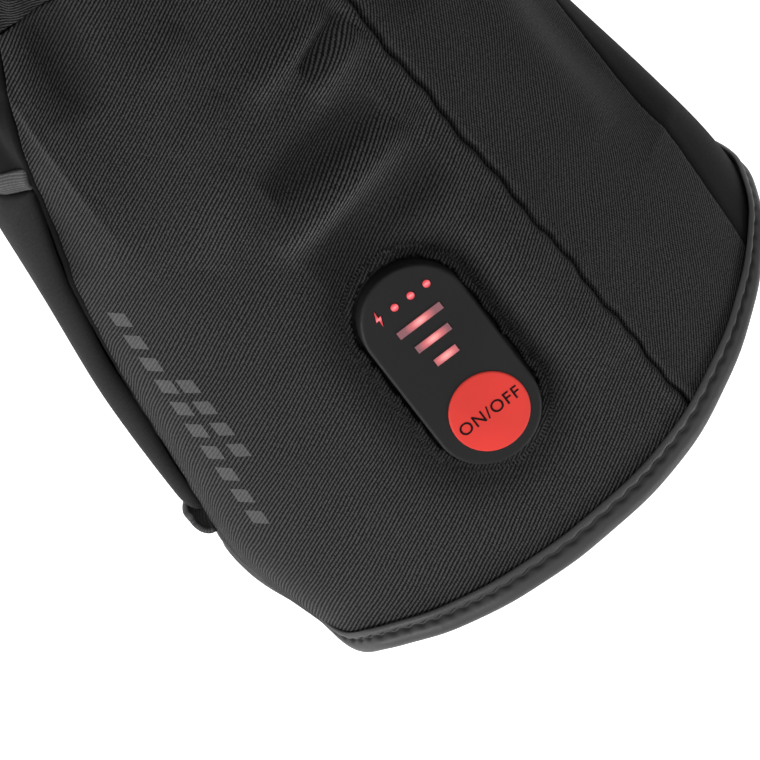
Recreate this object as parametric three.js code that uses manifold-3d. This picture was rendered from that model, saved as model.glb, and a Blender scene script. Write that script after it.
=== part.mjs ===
// A padded winter glove for the right hand with a heating control on its cuff, lying on its palm.
// X runs across the glove with the thumb towards -X, Y from the cuff's hem to the fingertips, Z up.
// The origin is on the surface that the glove lies on, under the middle of its outline.
import * as THREE from "three";
import { mergeVertices } from "three/addons/utils/BufferGeometryUtils.js";
import Module from "manifold-3d";

const wasm = await Module();
wasm.setup();

// Lengths along the glove, in millimetres.
const cuffLength = 139;
const elasticWidth = 18;
const handLength = 90;
const fingerLength = 88;
const hemSetback = 28;

// Outer widths and heights of the stuffed glove.
const cuffWidth = 119;
const cuffHeight = 61;
const wristWidth = 85;
const wristHeight = 46;
const handWidth = 110;
const knuckleHeight = 35;

// Padded walls, and the gap that neighbouring pieces keep.
const cuffWall = 3;
const handWall = 3.2;
const fingerWall = 2.8;
const seamGap = 0.3;

const handStart = cuffLength + elasticWidth;
const fingerStart = handStart + handLength;

// Small helpers: degrees, mixing, and a smooth curve through table rows.
const radians = (degrees) => (degrees * Math.PI) / 180;
const mix = (a, b, t) => a + (b - a) * t;
const clamp = THREE.MathUtils.clamp;
const signedPower = (value, power) => Math.sign(value) * Math.abs(value) ** power;

function curveThrough(rows, key, at) {
  const last = rows.length - 1;
  const x = clamp(at, rows[0].at, rows[last].at);
  let i = 0;
  while (i < last - 1 && x > rows[i + 1].at) i += 1;
  const slope = (k) => {
    const a = rows[Math.max(k - 1, 0)];
    const b = rows[Math.min(k + 1, last)];
    return (b[key] - a[key]) / (b.at - a.at);
  };
  const span = rows[i + 1].at - rows[i].at;
  const t = (x - rows[i].at) / span;
  const bend = t * t * (3 - 2 * t);
  const lean = span * t * (1 - t);
  return mix(rows[i][key], rows[i + 1][key], bend)
    + lean * ((1 - t) * slope(i) - t * slope(i + 1));
}

// The body's outline, from the hem to the finger roots. flare and rise are shares of the way from
// the wrist's width and height to the stretch's own, lift is a share of the wrist's height.
const outline = [
  { stretch: "cuff", share: 0.0, flare: 0.84, rise: 0.93, lift: 0.0, square: 2.1 },
  { stretch: "cuff", share: 0.18, flare: 1.0, rise: 1.0, lift: 0.0, square: 2.1 },
  { stretch: "cuff", share: 0.36, flare: 0.85, rise: 1.0, lift: 0.0, square: 2.1 },
  { stretch: "cuff", share: 0.58, flare: 0.67, rise: 0.84, lift: 0.0, square: 2.1 },
  { stretch: "cuff", share: 0.84, flare: 0.47, rise: 0.42, lift: 0.03, square: 2.1 },
  { stretch: "cuff", share: 1.0, flare: 0.1, rise: 0.1, lift: 0.03, square: 2.1 },
  { stretch: "hand", share: -0.1, flare: 0.0, rise: 0.0, lift: 0.03, square: 2.1 },
  { stretch: "hand", share: 0.06, flare: 0.14, rise: 0.0, lift: 0.0, square: 2.2 },
  { stretch: "hand", share: 0.26, flare: 0.5, rise: 0.01, lift: 0.0, square: 2.3 },
  { stretch: "hand", share: 0.7, flare: 0.96, rise: 0.35, lift: 0.0, square: 2.8 },
  { stretch: "hand", share: 1.0, flare: 1.0, rise: 1.0, lift: 0.0, square: 3.2 },
];
const stretches = {
  cuff: { start: 0, length: cuffLength, width: cuffWidth, height: cuffHeight },
  hand: { start: handStart, length: handLength, width: handWidth, height: knuckleHeight },
};
const stations = outline.map(({ stretch, share, flare, rise, lift, square }) => {
  const own = stretches[stretch];
  return {
    at: own.start + share * own.length,
    halfWidth: mix(wristWidth, own.width, flare) / 2,
    height: mix(wristHeight, own.height, rise),
    lift: lift * wristHeight,
    square,
  };
});

// Folds of the cuff's back and of the wrist. Places are shares of half the cuff's width across
// and of the cuff's length from the hem; width and height are shares of the cuff's width.
const folds = [
  { name: "side ridge", x0: -0.63, y0: 0.98, x1: -0.65, y1: 0.68, width: 0.05, height: 0.026 },
  { name: "side hollow", x0: -0.8, y0: 0.92, x1: -0.86, y1: 0.66, width: 0.06, height: -0.02 },
  { name: "thumb hollow", x0: -0.4, y0: 1.02, x1: -0.52, y1: 0.86, width: 0.05, height: -0.02 },
  { name: "wrist ridge", x0: -0.04, y0: 0.8, x1: 0.26, y1: 0.8, width: 0.03, height: 0.01 },
  { name: "wrist pit", x0: 0.02, y0: 0.75, x1: 0.26, y1: 0.757, width: 0.026, height: -0.02 },
  { name: "second ridge", x0: 0.02, y0: 0.71, x1: 0.3, y1: 0.73, width: 0.03, height: 0.012 },
  { name: "long hollow", x0: -0.06, y0: 0.65, x1: 0.24, y1: 0.633, width: 0.045, height: -0.02 },
  { name: "long ridge", x0: 0.15, y0: 0.604, x1: -0.3, y1: 0.568, width: 0.045, height: 0.019 },
  { name: "low hollow", x0: -0.26, y0: 0.525, x1: 0.0, y1: 0.53, width: 0.045, height: -0.014 },
  { name: "far hollow", x0: 0.82, y0: 0.62, x1: 0.88, y1: 0.34, width: 0.05, height: -0.022 },
  { name: "far ridge", x0: 0.7, y0: 0.66, x1: 0.76, y1: 0.4, width: 0.05, height: 0.01 },
  { name: "ridge by the control", x0: 0.27, y0: 0.46, x1: 0.3, y1: 0.16, width: 0.06, height: 0.014 },
];

// The heating control: a long housing with round ends, set through the cuff's back.
const control = {
  length: 43.3,
  width: 21,
  across: -0.095,
  along: 0.312,
  turn: radians(0.6),
  proud: 1.5,
  sunk: 1,
  edge: 0.6,
  dentDepth: 2,
  dentAway: 2.5,
  dentWidth: 5,
};

// The glove rests with its sections' middles at this share of their height, and its underside
// would reach this much further down if the surface did not flatten it.
const middleShare = 0.47;
const slump = 1.1;

function sectionAt(y) {
  const height = curveThrough(stations, "height", y);
  const middle = height * middleShare;
  return {
    halfWidth: curveThrough(stations, "halfWidth", y),
    lift: curveThrough(stations, "lift", y),
    square: curveThrough(stations, "square", y),
    middle,
    up: height - middle,
    down: middle * slump,
  };
}

function distanceToSegment(x, y, x0, y0, x1, y1) {
  const ahead = (x - x0) * (x1 - x0) + (y - y0) * (y1 - y0);
  const along = clamp(ahead / ((x1 - x0) ** 2 + (y1 - y0) ** 2), 0, 1);
  return Math.hypot(x - mix(x0, x1, along), y - mix(y0, y1, along));
}

const controlPlace = { x: (control.across * cuffWidth) / 2, y: control.along * cuffLength };

// Distance from a point of the plan to the outline of the control, less than 0 inside it.
function awayFromControl(x, y) {
  const dx = x - controlPlace.x;
  const dy = y - controlPlace.y;
  const across = dx * Math.cos(control.turn) + dy * Math.sin(control.turn);
  const along = -dx * Math.sin(control.turn) + dy * Math.cos(control.turn);
  const straight = (control.length - control.width) / 2;
  return Math.hypot(across, Math.max(Math.abs(along) - straight, 0)) - control.width / 2;
}

// The four fingers side by side. width is a share of the room across the knuckles, length of the
// longest finger, tall of the tallest, splay is the lean away from the glove's length in degrees.
const fingers = [
  { name: "index", width: 0.255, length: 0.9, tall: 0.92, splay: -4 },
  { name: "middle", width: 0.26, length: 1.0, tall: 1.0, splay: -0.5 },
  { name: "ring", width: 0.25, length: 0.94, tall: 1.0, splay: 1.5 },
  { name: "little", width: 0.235, length: 0.76, tall: 0.82, splay: 8 },
];
const fingerRoom = handWidth * 0.96;
const fingerHeight = knuckleHeight * 0.84;
let filled = -fingerRoom / 2;
for (const finger of fingers) {
  finger.slot = finger.width * fingerRoom;
  finger.centre = filled + finger.slot / 2;
  filled += finger.slot;
}
const fingerRoots = fingers.slice(1).map((finger) => finger.centre - finger.slot / 2);
const rootHollow = { depth: 2.4, width: 4.5, reach: 26 };

// How far the surface stands out from the plain body at a point of the plan.
function relief(x, y, upper) {
  if (upper <= 0) return 0;
  let height = 0;
  for (const fold of folds) {
    const away = distanceToSegment(
      x, y,
      (fold.x0 * cuffWidth) / 2, fold.y0 * cuffLength,
      (fold.x1 * cuffWidth) / 2, fold.y1 * cuffLength,
    );
    height += fold.height * cuffWidth * Math.exp(-((away / (fold.width * cuffWidth)) ** 2));
  }
  const ring = (Math.max(awayFromControl(x, y), 0) - control.dentAway) / control.dentWidth;
  height -= control.dentDepth * Math.exp(-(ring ** 2));
  const nearRoots = clamp(1 - (fingerStart - y) / rootHollow.reach, 0, 1) ** 2;
  for (const root of fingerRoots) {
    height -= rootHollow.depth * nearRoots * Math.exp(-(((x - root) / rootHollow.width) ** 2));
  }
  return height * Math.min(1, upper * 2.5);
}

// The hem's binding lies on the surface, which holds the cuff's skin this much above it.
const hemRoll = { height: 1.9, from: 34, to: 64 };
const hemRest = (y) => hemRoll.height * (1 - THREE.MathUtils.smoothstep(y, hemRoll.from, hemRoll.to));

// A point of the body at a length y and a turn round it from +X over the back, raised off the skin.
function bodyPoint(y, turn, raised) {
  const { halfWidth, lift, square, middle, up, down } = sectionAt(y);
  const c = signedPower(Math.cos(turn), 2 / square);
  const s = signedPower(Math.sin(turn), 2 / square);
  const tall = s > 0 ? up : down;
  const normal = new THREE.Vector2(
    signedPower(c, square - 1) / halfWidth,
    signedPower(s, square - 1) / tall,
  ).normalize();
  const x = halfWidth * c;
  const out = raised + relief(x, y, s);
  const floor = Math.max(hemRest(y) - raised, 0);
  return new THREE.Vector3(
    x + normal.x * out,
    y,
    Math.max(lift + middle + tall * s + normal.y * out, floor),
  );
}

// The turn at which the back of the body stands over a given place across it.
function turnOver(x, y) {
  const { halfWidth, square } = sectionAt(y);
  const share = clamp(x / halfWidth, -1, 1);
  return Math.acos(signedPower(share, square / 2));
}

// The turn that a distance round the body comes to.
function turnFor(distance, y, turn) {
  const { halfWidth, up } = sectionAt(y);
  return distance / Math.hypot(halfWidth * Math.sin(turn), up * Math.cos(turn));
}

// The hem's cut: how far it is set back from its tip, as a share of the full set-back.
const hemCut = [
  { at: -45, back: 1.1 },
  { at: 0, back: 0.97 },
  { at: 30, back: 0.62 },
  { at: 50, back: 0.34 },
  { at: 72, back: 0.09 },
  { at: 95, back: 0.0 },
  { at: 119, back: 0.05 },
  { at: 145, back: 0.17 },
  { at: 164, back: 0.52 },
  { at: 185, back: 1.0 },
  { at: 225, back: 1.08 },
  { at: 270, back: 1.12 },
  { at: 315, back: 1.1 },
];
const hemAt = (turn) => {
  const degrees = THREE.MathUtils.euclideanModulo(THREE.MathUtils.radToDeg(turn) + 45, 360) - 45;
  return hemSetback * curveThrough(hemCut, "back", degrees);
};

// The seam between the woven back and the smooth palm side, by the thumb: turns along the cuff.
const thumbSeam = [
  { at: 0.0, turn: 186 },
  { at: 0.17, turn: 181 },
  { at: 0.34, turn: 177 },
  { at: 0.5, turn: 173 },
  { at: 0.62, turn: 166 },
  { at: 0.74, turn: 157 },
  { at: 0.86, turn: 147 },
  { at: 1.0, turn: 138 },
];
// The seam between the woven back and the smooth palm side, away from the thumb.
const farSeam = [
  { at: 0.0, turn: 28 },
  { at: 0.14, turn: 30 },
  { at: 0.25, turn: 29 },
  { at: 0.4, turn: 21 },
  { at: 0.55, turn: 12 },
  { at: 0.75, turn: -1 },
  { at: 1.0, turn: -12 },
];
const seamAt = (rows, y) => radians(curveThrough(rows, "turn", y / cuffLength));
const thumbSeamAt = (y) => seamAt(thumbSeam, y);
const farSeamAt = (y) => seamAt(farSeam, y);
// The seam along the back drifts in towards the wrist, in shares of half the cuff's width.
const backSeam = { hem: 0.425, wrist: 0.3 };
const backSeamAt = (y) =>
  turnOver((mix(backSeam.hem, backSeam.wrist, y / cuffLength) * cuffWidth) / 2, y);
const handSeam = radians(-10);

// Geometry from grids of points: outside and inside surfaces, joined along their edges.
function gridGeometry(rows, columns, surfaces, closed) {
  const across = closed ? columns : columns + 1;
  const positions = surfaces.flatMap((surface) =>
    Array.from({ length: rows + 1 }, (_, i) =>
      Array.from({ length: across }, (_, j) => surface(i / rows, j / columns).toArray())).flat(2));
  const index = [];
  const id = (side, i, j) => side * (rows + 1) * across + i * across + (closed ? j % columns : j);
  const quad = (a, b, c, d) => index.push(a, b, c, a, c, d);
  for (let i = 0; i < rows; i += 1) {
    for (let j = 0; j < columns; j += 1) {
      quad(id(0, i, j), id(0, i + 1, j), id(0, i + 1, j + 1), id(0, i, j + 1));
      quad(id(1, i, j), id(1, i, j + 1), id(1, i + 1, j + 1), id(1, i + 1, j));
    }
    if (!closed) {
      quad(id(0, i, 0), id(1, i, 0), id(1, i + 1, 0), id(0, i + 1, 0));
      quad(id(0, i, columns), id(0, i + 1, columns), id(1, i + 1, columns), id(1, i, columns));
    }
  }
  for (let j = 0; j < columns; j += 1) {
    quad(id(0, 0, j), id(0, 0, j + 1), id(1, 0, j + 1), id(1, 0, j));
    quad(id(0, rows, j), id(1, rows, j), id(1, rows, j + 1), id(0, rows, j + 1));
  }
  return new THREE.BufferGeometry()
    .setAttribute("position", new THREE.Float32BufferAttribute(positions, 3))
    .setIndex(index);
}

// A panel of the body between two seams, cut along the hem or straight across at its ends.
function panelGeometry({ from, to, right, left, rows, columns, outside, inside }) {
  const surface = (raised) => (u, v) => {
    let turn = Math.PI / 2;
    let y = mix(from(turn), to, u);
    for (let pass = 0; pass < 4; pass += 1) {
      const first = right(y) + turnFor(seamGap / 2, y, right(y));
      const second = left(y) - turnFor(seamGap / 2, y, left(y));
      turn = mix(first, second, v);
      y = mix(from(turn), to, u);
    }
    return bodyPoint(y, turn, raised(u, v));
  };
  return gridGeometry(rows, columns, [surface(outside), surface(inside)], false);
}

const toSolid = (geometry) => {
  const bare = geometry.clone();
  bare.deleteAttribute("normal");
  bare.deleteAttribute("uv");
  const merged = mergeVertices(bare, 1e-4);
  return new wasm.Manifold(new wasm.Mesh({
    numProp: 3,
    vertProperties: merged.attributes.position.array,
    triVerts: new Uint32Array(merged.index.array),
  }));
};
const toGeometry = (solid) => {
  const { vertProperties, triVerts } = solid.getMesh();
  const geometry = new THREE.BufferGeometry()
    .setAttribute("position", new THREE.BufferAttribute(vertProperties, 3))
    .setIndex(new THREE.BufferAttribute(triVerts, 1));
  return mergeVertices(geometry, 1e-3);
};

// Materials.
const material = (color, roughness, metalness = 0) =>
  new THREE.MeshStandardMaterial({ color, roughness, metalness, flatShading: true });
const twill = material(0x303031, 0.85);
const smooth = material(0x3a3a3b, 0.6);
const bindingHide = material(0x3c3c3d, 0.5);
const greyTape = material(0x7d7f80, 0.55);
const housingRubber = material(0x2b2b2c, 0.55);
const threadBlack = material(0x1f1f20, 0.8);
const redLens = material(0xe8473c, 0.4);
const lampLens = material(0xe05a66, 0.35);

const glove = new THREE.Group();
function addMesh(name, geometry, surface, parent = glove) {
  const mesh = new THREE.Mesh(geometry, surface);
  mesh.name = name;
  parent.add(mesh);
  return mesh;
}

// The cuff: two woven panels on the back and a smooth one round the palm side.
const cuffEnd = cuffLength - seamGap / 2;
const fullTurn = 2 * Math.PI;
const skin = () => 0;
const cuffInside = () => -cuffWall;
const controlFrame = new THREE.Matrix4();
{
  const turn = turnOver(controlPlace.x, controlPlace.y);
  const step = 0.5;
  const plain = (y, t) => {
    const { halfWidth, lift, square, middle, up } = sectionAt(y);
    return new THREE.Vector3(
      halfWidth * signedPower(Math.cos(t), 2 / square),
      y,
      lift + middle + up * signedPower(Math.sin(t), 2 / square),
    );
  };
  const centre = plain(controlPlace.y, turn);
  const ahead = plain(controlPlace.y + step, turn).sub(centre);
  const beside = plain(controlPlace.y, turn - turnFor(step, controlPlace.y, turn)).sub(centre);
  const normal = new THREE.Vector3().crossVectors(beside, ahead).normalize();
  const forward = ahead.addScaledVector(normal, -ahead.dot(normal)).normalize();
  forward.applyAxisAngle(normal, control.turn);
  const sideways = new THREE.Vector3().crossVectors(forward, normal);
  controlFrame.makeBasis(sideways, forward, normal).setPosition(centre);
}

// The rolled binding round the hem: a U-shaped strip with a stitched groove near its outer edge.
// off is measured out from the woven skin, down is past the cut edge of the cuff.
const binding = { lap: 2.2, roll: 4, thick: 1.3, groove: 0.5, segments: 42, ease: 0.7, gap: 0.45 };
const bindingOuter = binding.gap + binding.thick;
const bindingInner = -cuffWall - binding.ease - binding.thick;
const bindingSection = [
  { off: binding.gap, down: -binding.lap },
  { off: bindingOuter - binding.groove, down: -binding.lap },
  { off: bindingOuter, down: -binding.lap * 0.5 },
  { off: bindingOuter - binding.groove, down: 0 },
  { off: bindingOuter + 0.2, down: binding.roll * 0.3 },
  { off: bindingOuter - 0.3, down: binding.roll * 0.72 },
  { off: -cuffWall / 2, down: binding.roll },
  { off: bindingInner + 0.3, down: binding.roll * 0.72 },
  { off: bindingInner, down: -binding.lap },
  { off: -cuffWall - binding.ease, down: -binding.lap },
  { off: -cuffWall - binding.ease, down: binding.ease },
  { off: binding.gap, down: binding.ease },
];
function bindingGeometry() {
  const count = bindingSection.length;
  const positions = [];
  const index = [];
  for (let j = 0; j < binding.segments; j += 1) {
    const turn = (fullTurn * j) / binding.segments;
    const edge = hemAt(turn);
    for (const { off, down } of bindingSection) {
      const place = bodyPoint(Math.max(edge - down, 0), turn, off);
      positions.push(place.x, edge - down, place.z);
    }
  }
  for (let j = 0; j < binding.segments; j += 1) {
    const next = (j + 1) % binding.segments;
    for (let k = 0; k < count; k += 1) {
      const kNext = (k + 1) % count;
      const [a, b, c, d] = [j * count + k, next * count + k, next * count + kNext, j * count + kNext];
      index.push(a, b, c, a, c, d);
    }
  }
  return new THREE.BufferGeometry()
    .setAttribute("position", new THREE.Float32BufferAttribute(positions, 3))
    .setIndex(index);
}
addMesh("hem_binding", bindingGeometry(), bindingHide);

function roundEnded(length, width) {
  const radius = width / 2;
  const straight = length / 2 - radius;
  const shape = new THREE.Shape();
  shape.moveTo(radius, -straight);
  shape.lineTo(radius, straight);
  shape.absarc(0, straight, radius, 0, Math.PI, false);
  shape.lineTo(-radius, -straight);
  shape.absarc(0, -straight, radius, Math.PI, fullTurn, false);
  return shape;
}

const backPanel = toSolid(panelGeometry({
  from: hemAt,
  to: cuffEnd,
  right: backSeamAt,
  left: thumbSeamAt,
  rows: 18,
  columns: 16,
  outside: skin,
  inside: cuffInside,
}));
const controlHole = new THREE.ExtrudeGeometry(
  roundEnded(control.length + 2 * seamGap, control.width + 2 * seamGap),
  { depth: cuffWall * 6, bevelEnabled: false, curveSegments: 8 },
).translate(0, 0, -cuffWall * 3).applyMatrix4(controlFrame);

// The stitched rim round the cloth's cut edge at the control lies in a shallow seat in the cloth.
const rim = { room: 1.2, width: 2.2, sunk: 0.8, proud: 0.7, segments: 34 };
function rimPoint(v, out, raised) {
  const radius = control.width / 2 + rim.room + out;
  const straight = (control.length - control.width) / 2;
  const turn = fullTurn * v;
  const across = radius * Math.cos(turn);
  const along = radius * Math.sin(turn) + straight * clamp(Math.sin(turn) * 3, -1, 1);
  const x = controlPlace.x + across * Math.cos(control.turn) - along * Math.sin(control.turn);
  const y = controlPlace.y + across * Math.sin(control.turn) + along * Math.cos(control.turn);
  return bodyPoint(y, turnOver(x, y), raised);
}
const rimRing = (inner, outer, top, bottom) => gridGeometry(
  2,
  rim.segments,
  [
    (u, v) => rimPoint(v, mix(inner, outer, u), top(u)),
    (u, v) => rimPoint(v, mix(inner, outer, u), bottom),
  ],
  true,
);
const rimTop = (u) => mix(-rim.sunk / 2, rim.proud, Math.sin(Math.PI * u));
const rimSeat = rimRing(-rim.room, rim.width + seamGap, () => cuffWall * 2, -rim.sunk - seamGap);
addMesh("control_rim", rimRing(0, rim.width, rimTop, -rim.sunk), threadBlack);
addMesh(
  "cuff_back",
  toGeometry(backPanel.subtract(toSolid(controlHole)).subtract(toSolid(rimSeat))),
  twill,
);

// The pocket for the battery: a flat pad on the thumb side, below the seam, with a tape at each
// end. All three lie in shallow seats in the smooth panel.
const pocket = { from: 0.268, to: 0.8, below: 3, reach: radians(222), thick: 3.4, edge: 3 };
const tape = { width: 4, thick: 1 };
const seatDepth = 0.8;
const pocketFrom = pocket.from * cuffLength;
const pocketTo = pocket.to * cuffLength;
const pocketTop = (y) => thumbSeamAt(y) + turnFor(pocket.below, y, thumbSeamAt(y));
const pocketGirth = cuffHeight * 0.4;
const pillow = (u, v) => {
  const length = pocketTo - pocketFrom;
  const toEdge = Math.min(u * length, (1 - u) * length, v * pocketGirth, (1 - v) * pocketGirth);
  const near = clamp(toEdge / pocket.edge, 0, 1);
  return mix(tape.thick, pocket.thick, Math.sqrt(1 - (1 - near) ** 2));
};
const tapeRoll = (thick) => (u) => mix(tape.thick * 0.6, thick, Math.sin(Math.PI * mix(0.1, 0.9, u)));
const pads = [
  { name: "battery_pocket", from: pocketFrom, to: pocketTo, rows: 8, top: pillow, surface: smooth },
  {
    name: "pocket_tape_hem",
    from: pocketFrom - seamGap - tape.width,
    to: pocketFrom - seamGap,
    rows: 3,
    top: tapeRoll(pocket.thick * 0.8),
    surface: greyTape,
  },
  {
    name: "pocket_tape_wrist",
    from: pocketTo + seamGap,
    to: pocketTo + seamGap + tape.width,
    rows: 3,
    top: tapeRoll(tape.thick),
    surface: greyTape,
  },
];
const padShape = ({ from, to, rows, top }, grow, rise) => panelGeometry({
  from: () => from - grow,
  to: to + grow,
  right: (y) => pocketTop(y) - turnFor(grow, y, pocketTop(y)),
  left: (y) => pocket.reach + turnFor(grow, y, pocket.reach),
  rows,
  columns: 6,
  outside: (u, v) => top(u, v) + rise,
  inside: () => -seatDepth - grow,
});
let palmPanel = toSolid(panelGeometry({
  from: hemAt,
  to: cuffEnd,
  right: thumbSeamAt,
  left: (y) => farSeamAt(y) + fullTurn,
  rows: 12,
  columns: 16,
  outside: skin,
  inside: cuffInside,
}));
for (const pad of pads) {
  addMesh(pad.name, padShape(pad, 0, 0), pad.surface);
  palmPanel = palmPanel.subtract(toSolid(padShape(pad, seamGap, cuffWall)));
}
addMesh("cuff_palm", toGeometry(palmPanel), smooth);
addMesh("cuff_side", panelGeometry({
  from: hemAt,
  to: cuffEnd,
  right: farSeamAt,
  left: backSeamAt,
  rows: 12,
  columns: 6,
  outside: skin,
  inside: cuffInside,
}), twill);

// The gathered elastic at the wrist.
const gathers = { count: 20, height: 1.1, steps: 3 };
const gather = (u, v) => gathers.height * Math.sin(Math.PI * u) * Math.cos(fullTurn * gathers.count * v);
const elasticRing = (raised) => (u, v) => bodyPoint(
  mix(cuffLength + seamGap / 2, handStart - seamGap / 2, u),
  fullTurn * v,
  raised + gather(u, v),
);
addMesh(
  "wrist_elastic",
  gridGeometry(2, gathers.count * gathers.steps, [elasticRing(0), elasticRing(-handWall)], true),
  twill,
);

// Tubes with a round closed tip, for the fingers and the thumb.
const stallShape = [
  { at: 0.0, wide: 1.0, tall: 1.0, lift: 0.12 },
  { at: 0.3, wide: 0.98, tall: 0.99, lift: 0.12 },
  { at: 0.6, wide: 0.96, tall: 0.97, lift: 0.09 },
  { at: 1.0, wide: 0.9, tall: 0.89, lift: 0.0 },
];
const outerRings = { straight: 4, tip: 3, sides: 14 };
const innerRings = { straight: 2, tip: 2, sides: 10 };
function stallSolid({ length, width, height, leanPerLength, inset, overrun }, rings) {
  const tipLength = width * 0.5;
  const reach = length - inset;
  const stops = [-overrun];
  for (let i = 0; i <= rings.straight; i += 1) {
    stops.push(((reach - tipLength) * i) / rings.straight);
  }
  for (let i = 1; i <= rings.tip; i += 1) {
    stops.push(reach - tipLength + tipLength * Math.sin((i / rings.tip) * 0.5 * Math.PI));
  }
  const positions = [];
  const index = [];
  const { sides } = rings;
  stops.forEach((y) => {
    const at = clamp(y / length, 0, 1);
    const shrink = Math.sqrt(Math.max(1 - Math.max((y - reach + tipLength) / tipLength, 0) ** 2.2, 0));
    const halfWide = (width / 2) * curveThrough(stallShape, "wide", at) - inset;
    const tall = height * curveThrough(stallShape, "tall", at);
    const lift = height * curveThrough(stallShape, "lift", at);
    const middle = tall * middleShare;
    for (let j = 0; j < sides; j += 1) {
      const turn = (fullTurn * j) / sides;
      const c = signedPower(Math.cos(turn), 2 / 2.5);
      const s = signedPower(Math.sin(turn), 2 / 2.5);
      const rise = s > 0 ? tall - middle - inset : middle * slump - inset;
      positions.push(
        leanPerLength * y + halfWide * shrink * c,
        y,
        Math.max(lift + middle + rise * shrink * s, inset),
      );
    }
  });
  const baseCentre = positions.length / 3;
  positions.push(-leanPerLength * overrun, -overrun, height * middleShare);
  for (let i = 0; i < stops.length - 1; i += 1) {
    for (let j = 0; j < sides; j += 1) {
      const next = (j + 1) % sides;
      const [a, b] = [i * sides + j, i * sides + next];
      const [c, d] = [(i + 1) * sides + next, (i + 1) * sides + j];
      index.push(a, d, c, a, c, b);
    }
  }
  for (let j = 0; j < sides; j += 1) index.push(baseCentre, j, (j + 1) % sides);
  return toSolid(new THREE.BufferGeometry()
    .setAttribute("position", new THREE.Float32BufferAttribute(positions, 3))
    .setIndex(index));
}

// Cuts a shell into its back and palm halves along a level seam.
const seamHeight = knuckleHeight * 0.42;
function addHalves(name, shell) {
  const wide = 1000;
  const block = (z) => toSolid(new THREE.BoxGeometry(wide, wide, wide).translate(0, 0, z));
  const above = shell.intersect(block(seamHeight + seamGap / 2 + wide / 2));
  const below = shell.intersect(block(seamHeight - seamGap / 2 - wide / 2));
  addMesh(`${name}_back`, toGeometry(above), twill);
  addMesh(`${name}_palm`, toGeometry(below), smooth);
}

// The body's core between two places along it, as a full solid.
const bodyCore = (from, to, raised, rows, columns) => toSolid(gridGeometry(
  rows,
  columns,
  [
    (u, v) => bodyPoint(mix(from, to, u), fullTurn * v, raised),
    (u) => new THREE.Vector3(0, mix(from, to, u), knuckleHeight * middleShare),
  ],
  true,
));

// The four fingers, each a closed tube with its hollow open towards the hand.
const fingerHollows = fingers.map(({ name, length, tall, splay, slot, centre }) => {
  const sizes = {
    length: length * fingerLength,
    width: slot - seamGap,
    height: tall * fingerHeight,
    leanPerLength: Math.tan(radians(splay)),
  };
  const place = [centre, fingerStart + seamGap, 0];
  const hollow = (overrun) => stallSolid({ ...sizes, inset: fingerWall, overrun }, innerRings);
  const outer = stallSolid({ ...sizes, inset: 0, overrun: 0 }, outerRings);
  addHalves(name, outer.subtract(hollow(1)).translate(place));
  return hollow(handWall * 2).translate(place);
});

// The thumb leaves the hand's side at an angle; the hand is cut open into it.
const thumb = {
  along: 0.14,
  across: -0.34,
  angle: 39,
  length: 92,
  width: 33,
  height: 33,
  sink: 3.6,
};
const placeThumb = (solid) => solid
  .rotate([0, 0, thumb.angle])
  .translate([(thumb.across * handWidth) / 2, handStart + thumb.along * handLength, 0]);
const { length: thumbLength, width: thumbWidth, height: thumbHeight } = thumb;
const thumbSizes = { length: thumbLength, width: thumbWidth, height: thumbHeight, leanPerLength: 0 };
const thumbOuter = placeThumb(stallSolid({ ...thumbSizes, inset: 0, overrun: 0 }, outerRings));
const thumbInner = placeThumb(stallSolid({ ...thumbSizes, inset: thumb.sink, overrun: 0 }, innerRings));

// The hand: a woven back and a smooth palm, joined along both sides.
const handPanels = [
  { name: "hand_back", right: handSeam, left: Math.PI - handSeam, columns: 15, surface: twill },
  {
    name: "hand_palm",
    right: Math.PI - handSeam,
    left: fullTurn + handSeam,
    columns: 10,
    surface: smooth,
  },
];
const handShell = [];
for (const { name, right, left, columns, surface } of handPanels) {
  const panel = toSolid(panelGeometry({
    from: () => handStart + seamGap / 2,
    to: fingerStart,
    right: () => right,
    left: () => left,
    rows: 9,
    columns,
    outside: skin,
    inside: () => -handWall,
  }));
  addMesh(name, toGeometry(panel.subtract(thumbInner)), surface);
  handShell.push(panel);
}

// A web closes the hand's end between the fingers; it keeps the seam gap from the panels round it.
let web = bodyCore(fingerStart - handWall, fingerStart, -handWall - seamGap, 1, 36);
for (const panel of handShell) {
  for (const [across, up] of [[seamGap, 0], [-seamGap, 0], [0, seamGap], [0, -seamGap]]) {
    web = web.subtract(panel.translate([across, 0, up]));
  }
}
for (const hollow of fingerHollows) web = web.subtract(hollow);
addMesh("finger_web", toGeometry(web), twill);

// The thumb's tube stops short of the hand all round its opening.
const thumbEase = 0.5;
const grownHand = bodyCore(cuffLength, fingerStart, seamGap + thumbEase, 18, 40);
addHalves("thumb", thumbOuter.subtract(thumbInner).subtract(grownHand));

// The control's housing, with a well for the button and shallow wells for the lamps.
const controlGroup = new THREE.Group();
controlFrame.decompose(controlGroup.position, controlGroup.quaternion, controlGroup.scale);
glove.add(controlGroup);
const alongControl = (share) => share * control.length;
const button = {
  diameter: 15.4,
  across: 0.4,
  along: alongControl(-0.266),
  proud: 0.5,
  thick: 1.4,
  play: 0.15,
};
const lamp = { depth: 0.8, play: 0.1, row: alongControl(0.365), pitch: 3.6, dot: 1.6 };
const bars = [
  { name: "heat_bar_1", length: 9.7, along: alongControl(0.25) },
  { name: "heat_bar_2", length: 7.5, along: alongControl(0.152) },
  { name: "heat_bar_3", length: 4.9, along: alongControl(0.055) },
];
const barWidth = 1.5;

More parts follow.
